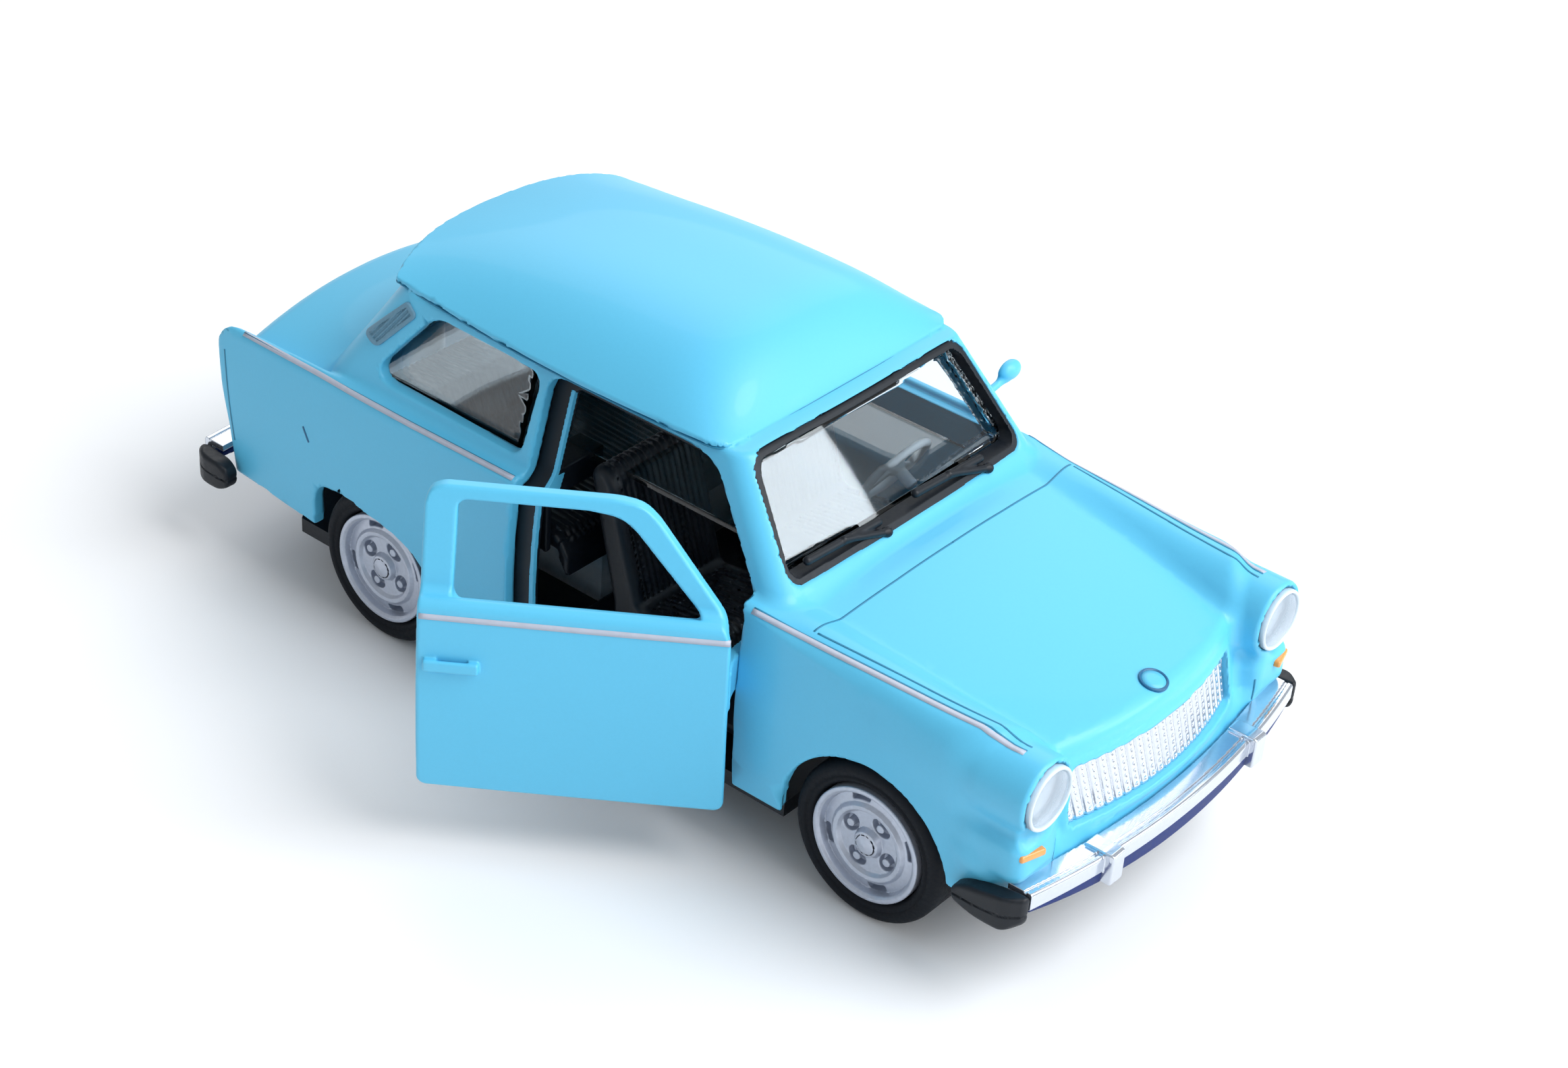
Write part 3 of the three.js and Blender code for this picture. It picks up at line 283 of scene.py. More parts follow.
def body_field(x, y, z):
    """The painted body shell with all its openings, hinge lugs and screw posts."""
    y = np.abs(y)
    form = dressed_form(x, y, z)
    shell = without(form, form + WALL, 0.0)
    # Door openings.
    doorway = both(convex(door_outline(DOOR_GAP), x, z, 0.9), 5 - y)
    shell = without(shell, doorway, 0.2)
    # Windows.
    shell = without(shell, both(convex(QUARTER_WINDOW, x, z, 1.3), 5 - y), 0.25)
    shell = without(shell, both(convex(FRONT_SCREEN, y, z, 1.6), slab(x, 4, 26)), 0.25)
    shell = without(shell, both(convex(REAR_SCREEN, y, z, 2.0), slab(x, -50, -27)), 0.25)
    # Wheel arches and wells.
    front_arch = either(disc(x, z, (AXLE_X + 0.2, WHEEL_R), 9.1), both(slab(x, AXLE_X - 9.2, 40.4), z - 6))
    arches = either(front_arch, convex(REAR_ARCH, x, z, 2.2))
    shell = without(shell, both(arches, 12 - y), 0.2)
    wells = either(disc(x, z, (AXLE_X, WHEEL_R), 9.0), disc(x, z, (-AXLE_X, WHEEL_R), 9.0))
    shell = without(shell, both(wells, slab(y, 13, 20.75)))
    # Lamps, grille and the ends of the bumper brackets.
    shell = without(shell, both(disc(y, z, LAMP[1:], LAMP_R + 0.15), slab(x, 43.4, 50)), 0.15)
    shell = without(shell, both(convex(grille_outline(0), y, z, 0.6), slab(x, 42, 50)), 0.2)
    shell = without(shell, block(x, y, z, (-60, 17.2, 14.2), (-50, 19.6, 20.8), 0.5), 0.15)
    # Hinge lugs in the room that each arm sweeps.
    swing_room = both(disc(x, y, HINGE, ARM["outer"] + 0.5), slab(z, ARM_LOW - 0.4, ARM_HIGH + 0.4))
    shell = without(shell, both(swing_room, form + 1.5))
    eye_level = slab(z, ARM_LOW - 0.3, ARM_HIGH + 0.3)
    shell = without(shell, both(disc(x, y, HINGE, ARM["eye"] + 0.25), eye_level))
    lug = block(x, y, z, (20.2, 18.2, ARM_LOW - 1.3), (22.8, 20.6, ARM_HIGH + 1.3), 0.3)
    shell = either(shell, without(lug, eye_level), 0.2)
    # Screw posts under the bonnet and the boot lid.
    near_post = np.inf
    for node, top in POST_TOPS.items():
        at = middle(node)
        post = both(disc(x, y, at, POST["r"]), slab(z, POST["foot"], top))
        post = without(post, both(disc(x, y, at, POST["bore"]), z - POST["bore_top"]))
        shell = either(shell, both(post, form + 0.3), 0.3)
        near_post = np.minimum(near_post, disc(x, y, at, POST["r"] + 0.2))
    # The underside: cut along the sills, higher behind the rear wheels and under the nose.
    return both(shell, np.minimum(blend_knots(SILL, x) - z, np.maximum(near_post, POST["foot"] - z)), 0.15)


# ---- Meshes from fields ----
def slopes(field, points, reach=0.03):
    """A field's gradient at each point."""
    columns = []
    for axis in range(3):
        step = np.zeros(3)
        step[axis] = reach
        ahead, behind = points + step, points - step
        columns.append((field(*ahead.T) - field(*behind.T)) / (2 * reach))
    return np.stack(columns, 1)


def skin(field, low, high, step, mirror=False, adaptivity=0.0):
    """Points, faces and normals of a field's surface; mirror copies the half y >= 0 to the other side."""
    axes = [np.arange(lo, hi + step, step) for lo, hi in zip(low, high)]
    if mirror:
        axes[1] = np.arange(0, high[1] + step, step)
    x, y, z = axes[0][:, None, None], axes[1][None, :, None], axes[2][None, None, :]
    values = np.broadcast_to(field(x, y, z), [len(a) for a in axes])
    start = np.array([axes[0][0], axes[1][0], axes[2][0]])
    if mirror:
        values = np.concatenate([values[:, :0:-1], values], axis=1)
        start[1] = -axes[1][-1]
    grid = openvdb.FloatGrid(3 * step)
    grid.copyFromArray(np.ascontiguousarray(np.clip(values, -3 * step, 3 * step), dtype=np.float32))
    points, triangles, quads = grid.convertToPolygons(0.0, adaptivity)
    points = points.astype(float) * step + start
    for _ in range(3):
        slope = slopes(field, points)
        off = field(*points.T)[:, None] * slope / np.maximum((slope ** 2).sum(1, keepdims=True), 1e-3)
        points -= np.clip(off, -0.3 * step, 0.3 * step)
    normals = slopes(field, points)
    normals /= np.maximum(np.linalg.norm(normals, axis=1, keepdims=True), 1e-6)
    faces = [*quads.tolist(), *triangles.tolist()]
    a, b, c = (points[np.array([f[i] for f in faces])] for i in range(3))
    facing = np.cross(b - a, c - a)
    at = normals[np.array([f[0] for f in faces])]
    if (facing * at).sum() < 0:
        faces = [face[::-1] for face in faces]
    return points, faces, normals


def to_frame(points):
    """Millimetres above the ground to metres in the frame."""
    return (np.asarray(points) + [0, 0, GROUND]) * MM


def piece(name, points, faces, normals, material, body, slot, replaces=()):
    """A mesh object in the frame, riding on a body."""
    mesh = bpy.data.meshes.new(name)
    mesh.from_pydata(to_frame(points).tolist(), [], faces)
    mesh.validate(clean_customdata=False)
    mesh.shade_smooth()
    if normals is not None:
        mesh.normals_split_custom_set_from_vertices(normals.tolist())
    mesh.materials.append(material)
    made = bpy.data.objects.new(name, mesh)
    bpy.context.scene.collection.objects.link(made)
    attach(made, body)
    if replaces:
        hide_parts(*replaces)
    return made


# ---- Shapes handled as (points, faces, normals) ----
def mirrored(shape):
    """A shape of the left side, put on the right."""
    points, faces, normals = shape
    flip = np.array([1, -1, 1])
    return points * flip, [face[::-1] for face in faces], None if normals is None else normals * flip


def moved(shape, offset):
    return shape[0] + np.array(offset), shape[1], shape[2]


def turned(shape, turn, axis="Z", centre=(0, 0, 0)):
    """A shape turned about an axis through a centre."""
    spin = np.array(Matrix.Rotation(turn, 3, axis))
    points, faces, normals = shape
    centre = np.array(centre)
    return (points - centre) @ spin.T + centre, faces, None if normals is None else normals @ spin.T


def on_right_door(shape):
    """A piece of the closed left door, mirrored and swung open with the right door."""
    return turned(mirrored(shape), REST_TURN, centre=(HINGE[0], -HINGE[1], 0))


def lathe(profile, segments=96):
    """A closed profile of (radius, height) points turned about the z axis; radius 0 closes on the axis."""
    turns = [2 * math.pi * i / segments for i in range(segments)]
    points, rows = [], []
    for radius, height in profile:
        if radius < 1e-6:
            rows.append([len(points)] * segments)
            points.append((0, 0, height))
        else:
            rows.append(list(range(len(points), len(points) + segments)))
            points += [(radius * math.cos(t), radius * math.sin(t), height) for t in turns]
    closed = profile[0][0] > 1e-6
    faces = []
    for near, far in zip(rows, rows[1:] + rows[:1] if closed else rows[1:]):
        for i in range(segments):
            j = (i + 1) % segments
            loop = [near[i], near[j], far[j], far[i]]
            faces.append([p for k, p in enumerate(loop) if p != loop[k - 1]])
    points = np.array(points)
    return points, outward(points, faces), None


def outward(points, faces):
    """The faces, all turned over if the closed shape they make has its inside out."""
    volume = sum(np.dot(points[f[0]], np.cross(points[f[i]], points[f[i + 1]]))
                 for f in faces for i in range(1, len(f) - 1))
    return faces if volume > 0 else [face[::-1] for face in faces]


def arc(centre, radius, start, end, steps=6):
    turns = [math.radians(start + (end - start) * i / steps) for i in range(steps + 1)]
    return [(centre[0] + radius * math.cos(t), centre[1] + radius * math.sin(t)) for t in turns]


def unit(vectors):
    return vectors / np.linalg.norm(vectors, axis=1, keepdims=True)


def settled(points):
    """Points moved onto the body's surface."""
    for _ in range(8):
        slope = slopes(dressed_form, points)
        points = points - dressed_form(*points.T)[:, None] * slope / (slope ** 2).sum(1, keepdims=True)
    return points


def strip(knots, half, lift=0.06, sink=0.25, count=48):
    """A thin raised strip over the body's surface, through points near it."""
    knots = np.array(knots, float)
    far = np.concatenate([[0], np.cumsum(np.linalg.norm(np.diff(knots, axis=0), axis=1))])
    steps = np.linspace(0, far[-1], count)
    line = settled(np.stack([np.interp(steps, far, knots[:, k]) for k in range(3)], 1))
    across = unit(np.cross(np.gradient(line, axis=0), unit(slopes(dressed_form, line))))
    rows = []
    for edge, out in ((-half, lift), (half, lift), (half, -sink), (-half, -sink)):
        beside = settled(line + edge * across)
        rows.append(beside + out * unit(slopes(dressed_form, beside)))
    points = np.concatenate(rows)
    faces = [[0, count, 2 * count, 3 * count], [4 * count - 1, 3 * count - 1, 2 * count - 1, count - 1]]
    for k in range(4):
        a, b = k * count, (k + 1) % 4 * count
        faces += [[a + i, a + i + 1, b + i + 1, b + i] for i in range(count - 1)]
    return points, outward(points, faces), None


BELT_FRONT = [(15.9, 20.5, 25.9), (22, 20.1, 25.7), (28, 19.65, 25.4), (36, 19.1, 25.0), (43.6, 18.6, 24.6)]
BELT_REAR = [(-49.8, 19.8, 25.9), (-40, 20.2, 26.1), (-26, 20.4, 26.2), (-12.8, 20.4, 26.4)]
BELT_DOOR = [(-11.8, 20.9, 24.9), (14.9, 20.9, 24.9)]


def inboard(knots, by):
    """The same line, nearer the middle by a distance."""
    return [(x, y - by, z) for x, y, z in knots]


def panel_gaps():
    """Lines of the left half's panel gaps: bonnet side, cowl, fin back and front corner."""
    return [inboard(BELT_FRONT[1:], 1.1),
            [(21.6, 19.0, 25.5), (21.6, 16, 25.4), (21.9, 8, 26), (22.0, 0, 26.3)],
            [(-52.3, 20.9, 23.2), (-51.6, 21.2, 19), (-50.7, 21.4, 13.5)],
            [(46.2, 15.6, 15.3), (46.2, 15.7, 13.0)]]


# ---- Doors ----
HANDLE = {"low": (-11.3, 19.9), "high": (-6.5, 21.0), "out": 22.05}


def door_field(x, y, z):
    """The left door, closed: skin, window, handle and the hooked arm that reaches round the wing."""
    form = outer_form(x, y, z)
    plate = both(both(form, -(form + DOOR_SKIN), 0.2), both(convex(door_outline(0), x, z, 0.9), 5 - y), 0.3)
    plate = without(plate, both(convex(DOOR_WINDOW, x, z, 0.8), y - 19.5), 0.3)
    recess = np.sqrt((x + 9.6) ** 2 / 3.2 + (y - 22.1) ** 2 / 0.6 + (z - 20.0) ** 2 / 0.8) - 1
    plate = without(plate, recess * 0.7, 0.2)
    (x0, z0), (x1, z1) = HANDLE["low"], HANDLE["high"]
    grip = block(x, y, z, (x0, 21.55, z0), (x1, HANDLE["out"], z1), 0.22)
    feet = block(x, y, z, (x0, 20.6, z0), (x1, 21.9, z1), 0.2)
    feet = without(feet, slab(x, x0 + 1.1, x1 - 0.9), 0.1)
    plate = either(either(plate, grip, 0.15), feet, 0.15)
    radius = np.hypot(x - HINGE[0], y - HINGE[1])
    turn = np.degrees(np.arctan2(y - HINGE[1], x - HINGE[0])) % 360
    hook = both(slab(radius, ARM["inner"], ARM["outer"]), slab(turn, 172, 224) * 0.12)
    leg_x, leg_y = math.cos(math.radians(ARM["leg"])), math.sin(math.radians(ARM["leg"]))
    reach = (x - HINGE[0]) * leg_x + (y - HINGE[1]) * leg_y
    across = (y - HINGE[1]) * leg_x - (x - HINGE[0]) * leg_y
    leg = both(slab(reach, 0.9, ARM["outer"]), slab(across, -0.5, 0.5))
    hook = both(either(hook, leg, 0.2), form + DOOR_SKIN - 0.1)
    hook = without(either(hook, radius - ARM["eye"], 0.3), radius - 0.6)
    return either(plate, both(hook, slab(z, ARM_LOW, ARM_HIGH), 0.15), 0.3)


def doorway_shade_field(x, y, z):
    """A black sheet on the flange behind the left door: painted shade of the recessed doorway."""
    form = outer_form(x, y, z)
    flange = both(both(form + 1.45, -(form + 2.3), 0.15), convex(DOOR_FRAME, x, z, 0.8))
    return without(flange, convex(DOORWAY, x, z, 0.8), 0.2)


def jamb_edge_field(x, y, z):
    """The flange's thin painted upright edge, behind the left door's rear edge."""
    form = outer_form(x, y, z)
    upright = both(slab(x, -10.6, -10.12), slab(z, 9.3, 34.4), 0.1)
    edge = both(both(form + 1.38, -(form + 1.85), 0.1), upright)
    inner_limit = 18.2 - 0.385 * np.maximum(z - 21, 0)
    return both(edge, inner_limit - y)


# ---- Glass, its black surrounds and the wipers ----
def glass_field(x, y, z):
    """One clear moulding inside the cabin, open beside the doors."""
    y = np.abs(y)
    cabin = cabin_form(x, y, z)
    pane = both(both(cabin + 1.6, -(cabin + 2.4)), slab(z, 26.2, 36.5))
    door_room = convex([(13.4, 24), (13.4, 26.2), (5.0, 37.5), (-15.4, 37.5), (-15.4, 24)], x, z)
    return without(pane, both(door_room, 12.8 - y))


def grown(outline, low, high, sides):
    """A four-cornered outline moved out by low, high and sides."""
    (a0, b0), (a1, b1), (a2, b2), (a3, b3) = outline
    return [(a0 - sides, b0 - low), (a1 + sides, b1 - low), (a2 + sides, b2 + high), (a3 - sides, b3 + high)]


def surround_field(outline, radius, ends, inside):
    """The black printed edge of a screen, seated in the body's opening."""
    def field(x, y, z):
        y = np.abs(y)
        cabin = cabin_form(x, y, z)
        ring = without(convex(grown(outline, 0.1, 0.1, 0.1), y, z, radius),
                       convex(grown(outline, *inside), y, z, radius - 0.3))
        ring = both(both(both(ring, slab(x, *ends)), cabin + 0.2), -(cabin + 1.5))
        return without(ring, both(convex(door_outline(DOOR_GAP), x, z, 0.9), 5 - y))
    return field


def on_screen(along, up, out):
    """A point on the windscreen: along the car's width, up the glass and out from it."""
    lean = math.hypot(1, SCREEN["lean"])
    x = SCREEN["x"] + (SCREEN["lean"] * up + out) / lean
    return x, along, SCREEN["z"] + (up - SCREEN["lean"] * out) / lean


def wiper_field(start, end):
    """A blade along the foot of the windscreen, its arm and its pivot at the end nearer the car's left."""
    blade = [on_screen(start, 1.5, 0.1), on_screen(end, 1.1, 0.1)]
    pivot = on_screen(end + 0.5, -0.1, 0.2)
    middle_of_blade = on_screen((start + end) / 2, 1.4, 0.35)

    def field(x, y, z):
        shape = capsule(x, y, z, *blade, 0.42)
        shape = either(shape, capsule(x, y, z, pivot, middle_of_blade, 0.34), 0.2)
        return either(shape, capsule(x, y, z, pivot, on_screen(end + 0.5, -0.1, -0.7), 0.5), 0.2)
    return field


# ---- Wheels ----
def tyre_shape():
    """A tyre about the z axis, its outer side up, with a rolled shoulder and a groove in its wall."""
    low, high, bore = 0.0, TYRE_OUT - TYRE_IN, RIM_R + 0.15
    outer = [*arc((WHEEL_R - 0.9, high - 0.95), 0.9, 0, 80), (WHEEL_R - 1.15, high - 0.03),
             (WHEEL_R - 1.25, high - 0.14), (WHEEL_R - 1.4, high - 0.14), (WHEEL_R - 1.5, high - 0.02),
             (bore + 0.2, high - 0.22), (bore, high - 0.5)]
    inner = [(bore, low + 0.6), (bore + 0.9, low + 0.05), *arc((WHEEL_R - 0.9, low + 0.9), 0.9, -90, 0)]
    return lathe([*outer, *inner])


RIM_FACE_SHAPE = [(0, 0.0), (0.7, -0.12), (1.25, -0.3), (1.5, -0.85), (3.1, -0.8), (3.35, -0.45),
                  (3.75, -0.4), (4.05, -0.75), (4.95, -0.95), (5.1, -0.3), (5.35, -0.08), (5.75, -0.1)]
NUT = {"at": 2.35, "pocket": 0.75, "r": 0.4}


def rim_field(x, y, z):
    """A wheel rim about the z axis, face up at z = 0: cap, raised ring, four slots and four nuts."""
    radius, turn = np.hypot(x, y), np.arctan2(y, x)
    face = (z - blend_knots(RIM_FACE_SHAPE, radius)) * 0.8
    rim = both(both(face, radius - RIM_R, 0.12), -(z + RIM_FACE - TYRE_IN - 0.9))
    rim = without(rim, both(slab(radius, 2.2, RIM_R - 0.75), z + 2.4), 0.2)
    quarter = (turn + math.pi / 4) % (math.pi / 2) - math.pi / 4
    slot = both(slab(radius, 4.25, 4.9), np.abs(quarter) * radius - 1.0, 0.2)
    rim = without(rim, both(slot, -(z + 1.9)), 0.08)
    between = turn % (math.pi / 2) - math.pi / 4
    nut_u, nut_v = radius * np.cos(between) - NUT["at"], radius * np.sin(between)
    pocket = both(np.hypot(nut_u, nut_v * 0.75) - NUT["pocket"], -(z + 1.6), 0.1)
    rim = without(rim, pocket, 0.1)
    nut = both(both(np.hypot(nut_u, nut_v) - NUT["r"], slab(z, -1.9, -0.65)), z + 0.65, 0.12)
    return without(either(rim, nut, 0.06), both(radius - 1.0, z + 0.25))


# ---- Bumpers ----
BUMPERS = {
    "front": {"sign": 1, "face": 49.85, "bow": 0.0055, "top": 12.9, "reach": 2.5, "tail": 7.2},
    "rear": {"sign": -1, "face": 55.55, "bow": 0.0015, "top": 12.2, "reach": 2.7, "tail": 5.2}}
BUMPER_HALF = 20.7
CORNER_PROFILES = {
    "front": [(-7.2, -2.25), (-6.9, -3.3), (-5.2, -3.7), (-1.3, -3.7), (0.2, -2.6), (0.2, -0.1),
              (-1.6, -0.05), (-6.0, -1.15)],
    "rear": [(-5.2, -1.6), (-5.2, -3.0), (-4.2, -3.8), (-0.8, -3.8), (0.2, -3.0), (0.2, -0.9),
             (-0.6, -0.4), (-4.2, -0.7)]}
OVERRIDER = {"y": 11.3, "half": 0.9}


def bumper_field(end):
    """A plated bar: ledge with a groove, upright face and a pair of overriders."""
    sign, face, bow, top, reach = (BUMPERS[end][k] for k in ("sign", "face", "bow", "top", "reach"))

    def field(x, y, z):
        x, y = x * sign, np.abs(y)
        front = x - (face - bow * y * y)
        bar = both(both(front, z - top, 0.3), top - 1.75 - z, 0.25)
        bar = both(bar, both(-(front + reach), y - BUMPER_HALF))
        bar = without(bar, both(-(front + reach + 1), both(front + 1.0, z - (top - 0.7))), 0.15)
        bar = without(bar, both(slab(front, -0.85, -0.62), top - 0.14 - z), 0.05)
        base = face - bow * OVERRIDER["y"] ** 2
        near = slab(y, OVERRIDER["y"] - OVERRIDER["half"], OVERRIDER["y"] + OVERRIDER["half"])
        plate = both(slab(x, base - reach + 0.2, base + 0.45), slab(z, top - 0.3, top + 0.33), 0.12)
        plate = both(plate, near, 0.12)
        horn = both(both(slab(x, base - 0.5, base + 0.78), slab(z, top - 2.85, top + 0.33), 0.3), near, 0.15)
        return either(bar, either(plate, horn, 0.15), 0.08)
    return field


def lip_field(end):
    """The lip under a bar, lower in the middle than at its ends, and the bar's two brackets. Its dark navy is
    partly the lip's own dark colour and partly painted shade, the shadow beneath the bar.
    """
    sign, face, bow, top = (BUMPERS[end][k] for k in ("sign", "face", "bow", "top"))

    def field(x, y, z):
        x, y = x * sign, np.abs(y)
        front = x - (face - bow * y * y)
        low = top - 3.5 + 1.5 * (y / BUMPER_HALF) ** 2
        lip = both(front + 0.1 + 0.1 * np.maximum(top - 1.8 - z, 0), low - z, 0.2)
        lip = both(both(lip, -(front + 1.6)), both(z - (top - 1.7), y - BUMPER_HALF + 0.1))
        arm = both(both(slab(x, face - 9.9, face - 1.5), slab(z, 8.4, 9.2), 0.2), slab(y, 6.6, 8.6), 0.2)
        return either(lip, arm, 0.1)
    return field


def corner_field(end):
    """A black end piece that wraps round the body's corner, with one moulded groove."""
    sign, face, bow, top, tail = (BUMPERS[end][k] for k in ("sign", "face", "bow", "top", "tail"))
    tip = face - bow * BUMPER_HALF ** 2
    start = BUMPER_HALF + 0.05
    outline = [(tip + 0.1, start), (tip + 0.1, start + 0.7), (tip - 1.4, start + 1.9),
               (tip - 3.2, start + 2.1), (tip - tail, start + 1.7), (tip - tail, start + 0.1),
               (tip - 2.6, start)]
    profile = [(tip + along, top + up) for along, up in CORNER_PROFILES[end]]

    def field(x, y, z):
        x, y = x * sign, np.abs(y)
        plan = convex(outline, x, y, 0.4)
        shape = both(plan, convex(profile, x, z, 0.45), 0.45)
        groove = both(slab(z - 0.1 * (x - tip), top - 2.0, top - 1.8), -(plan + 0.12))
        return without(shape, groove, 0.08)
    return field


# ---- Front and rear trim ----
GRILLE_PITCH = {"bars": 1.15, "dots": 0.7}


def grille_field(x, y, z):
    """A bowed plated panel: slanted upright ribs, each with a row of fine dimples."""
    base = 46.75 - 0.0122 * y * y - 0.2 * np.maximum(z - 14.5, 0)
    bars = (y + 0.16 * (z - 14.7)) / GRILLE_PITCH["bars"]
    across = (bars - np.floor(bars) - 0.5) * GRILLE_PITCH["bars"]
    dot = np.hypot((z + 0.3) % GRILLE_PITCH["dots"] - GRILLE_PITCH["dots"] / 2, across)
    relief = -0.16 * np.exp(-((np.abs(across) - 0.575) / 0.13) ** 2) - 0.1 * np.exp(-(dot / 0.15) ** 2)
    panel = both(x - (base + relief), base - 0.9 - x)
    return both(panel, convex(grille_outline(-0.02), y, z, 0.5))


def indicator_field(x, y, z):
    """The amber strip under the headlamp, following the bowed corner."""
    low, high = node_box("left_indicator")
    centre = (low + high) / 2
    lean = math.radians(16)
    u = (x - centre[0]) * math.cos(lean) + (y - centre[1]) * math.sin(lean)
    v = (y - centre[1]) * math.cos(lean) - (x - centre[0]) * math.sin(lean)
    plan = both(slab(u, -0.5, 0.28), slab(v, -1.35, 1.35), 0.25)
    return both(plan, slab(z, centre[2] - 0.36, centre[2] + 0.36), 0.25)


def tail_lamp_field(x, y, z):
    """A red lamp with level ribs, let into the end of the fin."""
    low, high = node_box("left_tail_lamp")
    lamp = both(both(slab(y, low[1], high[1]), slab(z, low[2], high[2]), 0.4), x - high[0] - 1.6)
    face = blend_knots(TAIL, z) - 0.7 + 0.0017 * y * y - 0.22
    ribs = 0.05 * np.cos(2 * np.pi * z / 0.8)
    return both(lamp, face + ribs - x, 0.15)


def lens_shape():
    """A domed lamp glass about the z axis, with its flat back at z = 0."""
    depth = LENS_HIGH[0] - LENS_LOW[0]
    dome = [(LAMP_R * 0.98 * math.sin(t), depth - 0.75 * (1 - math.cos(t)) - 0.12 * math.sin(t) ** 8)
            for t in [math.pi / 2 * i / 10 for i in range(11)]]
    return lathe([(0, 0.0), (LAMP_R * 0.98, 0.0), *dome[::-1]][:-1] + [(0, depth)])


def bezel_shape():
    """A bright ring round the lamp glass, about the z axis."""
    inner, outer, height, bead = LAMP_R - 0.3, LAMP_R + 0.12, 1.1, 0.18
    rolled = arc((outer - bead, height), bead, 0, 180)
    return lathe([(inner, 0.0), (outer, 0.0), (outer, height), *rolled, (inner, height - 0.2)])


def reflector_shape():
    """A plated bowl about the z axis with a bulb in its middle."""
    low, high = node_box("left_headlamp_reflector")
    depth, radius = high[0] - low[0], (high[2] - low[2]) / 2
    bowl = [(0.75 + (radius - 1.0) * i / 8, 0.45 + (depth - 0.45) * (i / 8) ** 2) for i in range(9)]
    bulb = [(0.0, 0.95), (0.3, 0.87), (0.42, 0.6)]
    return lathe([(0, 0.0), (radius, 0.0), (radius, depth), *bowl[::-1], *bulb[::-1]])


def badge_shape():
    """A plain round badge about the z axis: a printed rim, and the flat field inside it."""
    rim = lathe([(1.1, 0.0), (1.38, 0.0), (1.38, 0.22), (1.34, 0.27), (1.22, 0.27), (1.18, 0.22), (1.1, 0.2)])
    return rim, lathe([(0, 0.0), (1.14, 0.0), (1.14, 0.2), (0.5, 0.23), (0, 0.24)])


def vent_field(x, y, z):
    """The louvred panel on the rear roof pillar."""
    cabin = cabin_form(x, y, z)
    outline = convex([(-35.4, 31.0), (-32.9, 30.5), (-28.9, 34.9), (-30.4, 35.9)], x, z, 0.5)
    slats = 0.12 * np.cos(2 * np.pi * (x - 0.75 * z) / 0.55)
    inner = outline + 0.45
    height = np.where(inner < 0, 0.12 + slats * 0.8, 0.22)
    return both(both(cabin - height, -(cabin + 0.5)), outline, 0.1)


# ---- Interior ----
RIB_PITCH = 0.75


def tub_field(x, y, z):
    """Floor pan, two ribbed front seats, a ribbed rear bench and its side walls, moulded in one."""
    y = np.abs(y)
    ribs = 0.07 * np.cos(2 * np.pi * y / RIB_PITCH)
    floor = block(x, y, z, (-9.6, -17.6, 9.0), (13.6, 17.6, 10.0), 0.2)
    cushion = convex([(8.0, 9.5), (8.6, 14.4), (7.4, 15.8), (-1.4, 14.8), (-4.6, 13.6), (-4.6, 9.5)],
                     x, z, 0.9)
    back = convex([(-1.2, 14.0), (-5.4, 27.0), (-6.8, 27.9), (-8.3, 27.0), (-4.7, 13.4), (-3.0, 12.0)],
                  x, z, 0.9)
    inside = slab(y, 3.9, 14.3)
    padding = both(inside, either(cushion, back), 0.3)
    seat = both(either(cushion, back, 1.2), slab(y, 3.0, 15.2), 0.9)
    seat = seat + np.where(padding < 0, ribs + 0.05, 0)
    bench = both(bench_profile(x, z), slab(y, -17, 16.4), 0.4)
    bench = bench + np.where((y < 15.4) & (z > 18.2), ribs, 0)
    wall = both(slab(x, -34.0, -11.2), slab(z, 17.3, 25.9)) + 0.05 * np.cos(2 * np.pi * x / RIB_PITCH)
    wall = both(wall, slab(y, 16.6, 17.2), 0.1)
    return either(either(either(floor, seat, 0.3), bench, 0.2), wall, 0.1)


def bench_profile(x, z):
    """The rear bench seen from the side: riser, seat, back and the shelf behind it."""
    riser = convex([(-9.4, 9.0), (-9.4, 17.0), (-10.4, 18.5), (-11.2, 17.5), (-10.6, 16.6), (-10.6, 9.0)],
                   x, z, 0.2)
    seat = convex([(-9.9, 17.4), (-11.0, 19.0), (-25.5, 19.7), (-26.7, 18.4)], x, z, 0.3)
    back = convex([(-25.2, 18.6), (-28.6, 25.8), (-30.4, 25.0), (-26.6, 18.2)], x, z, 0.3)
    shelf = convex([(-28.4, 25.8), (-34.4, 25.2), (-34.4, 24.2), (-29.0, 24.7)], x, z, 0.2)
    return either(either(riser, seat, 0.3), either(back, shelf, 0.3), 0.3)


def dashboard_field(x, y, z):
    """The board with one round dial and the line of a locker lid."""
    board = convex([(18.9, 18.6), (18.9, 22.4), (17.2, 24.2), (12.6, 24.2), (11.8, 23.4), (12.4, 19.4),
                    (13.6, 18.6)], x, z, 0.6)
    board = both(board, slab(y, -13.4, 13.4), 0.5)
    dial = both(both(disc(y, z, (8.0, 22.3), 0.95), slab(x, 10.0, 12.4)), 12.05 - x, 0.1)
    locker = both(slab(y, -10.4, -3.4), slab(z, 20.4, 22.9), 0.3)
    line = both(slab(locker, -0.09, 0.09), x - 12.7)
    return without(without(board, dial, 0.1), line, 0.05)


STEERING = {"centre": (9.2, 8.0, 24.4), "tilt": 0.5, "r": 3.9}


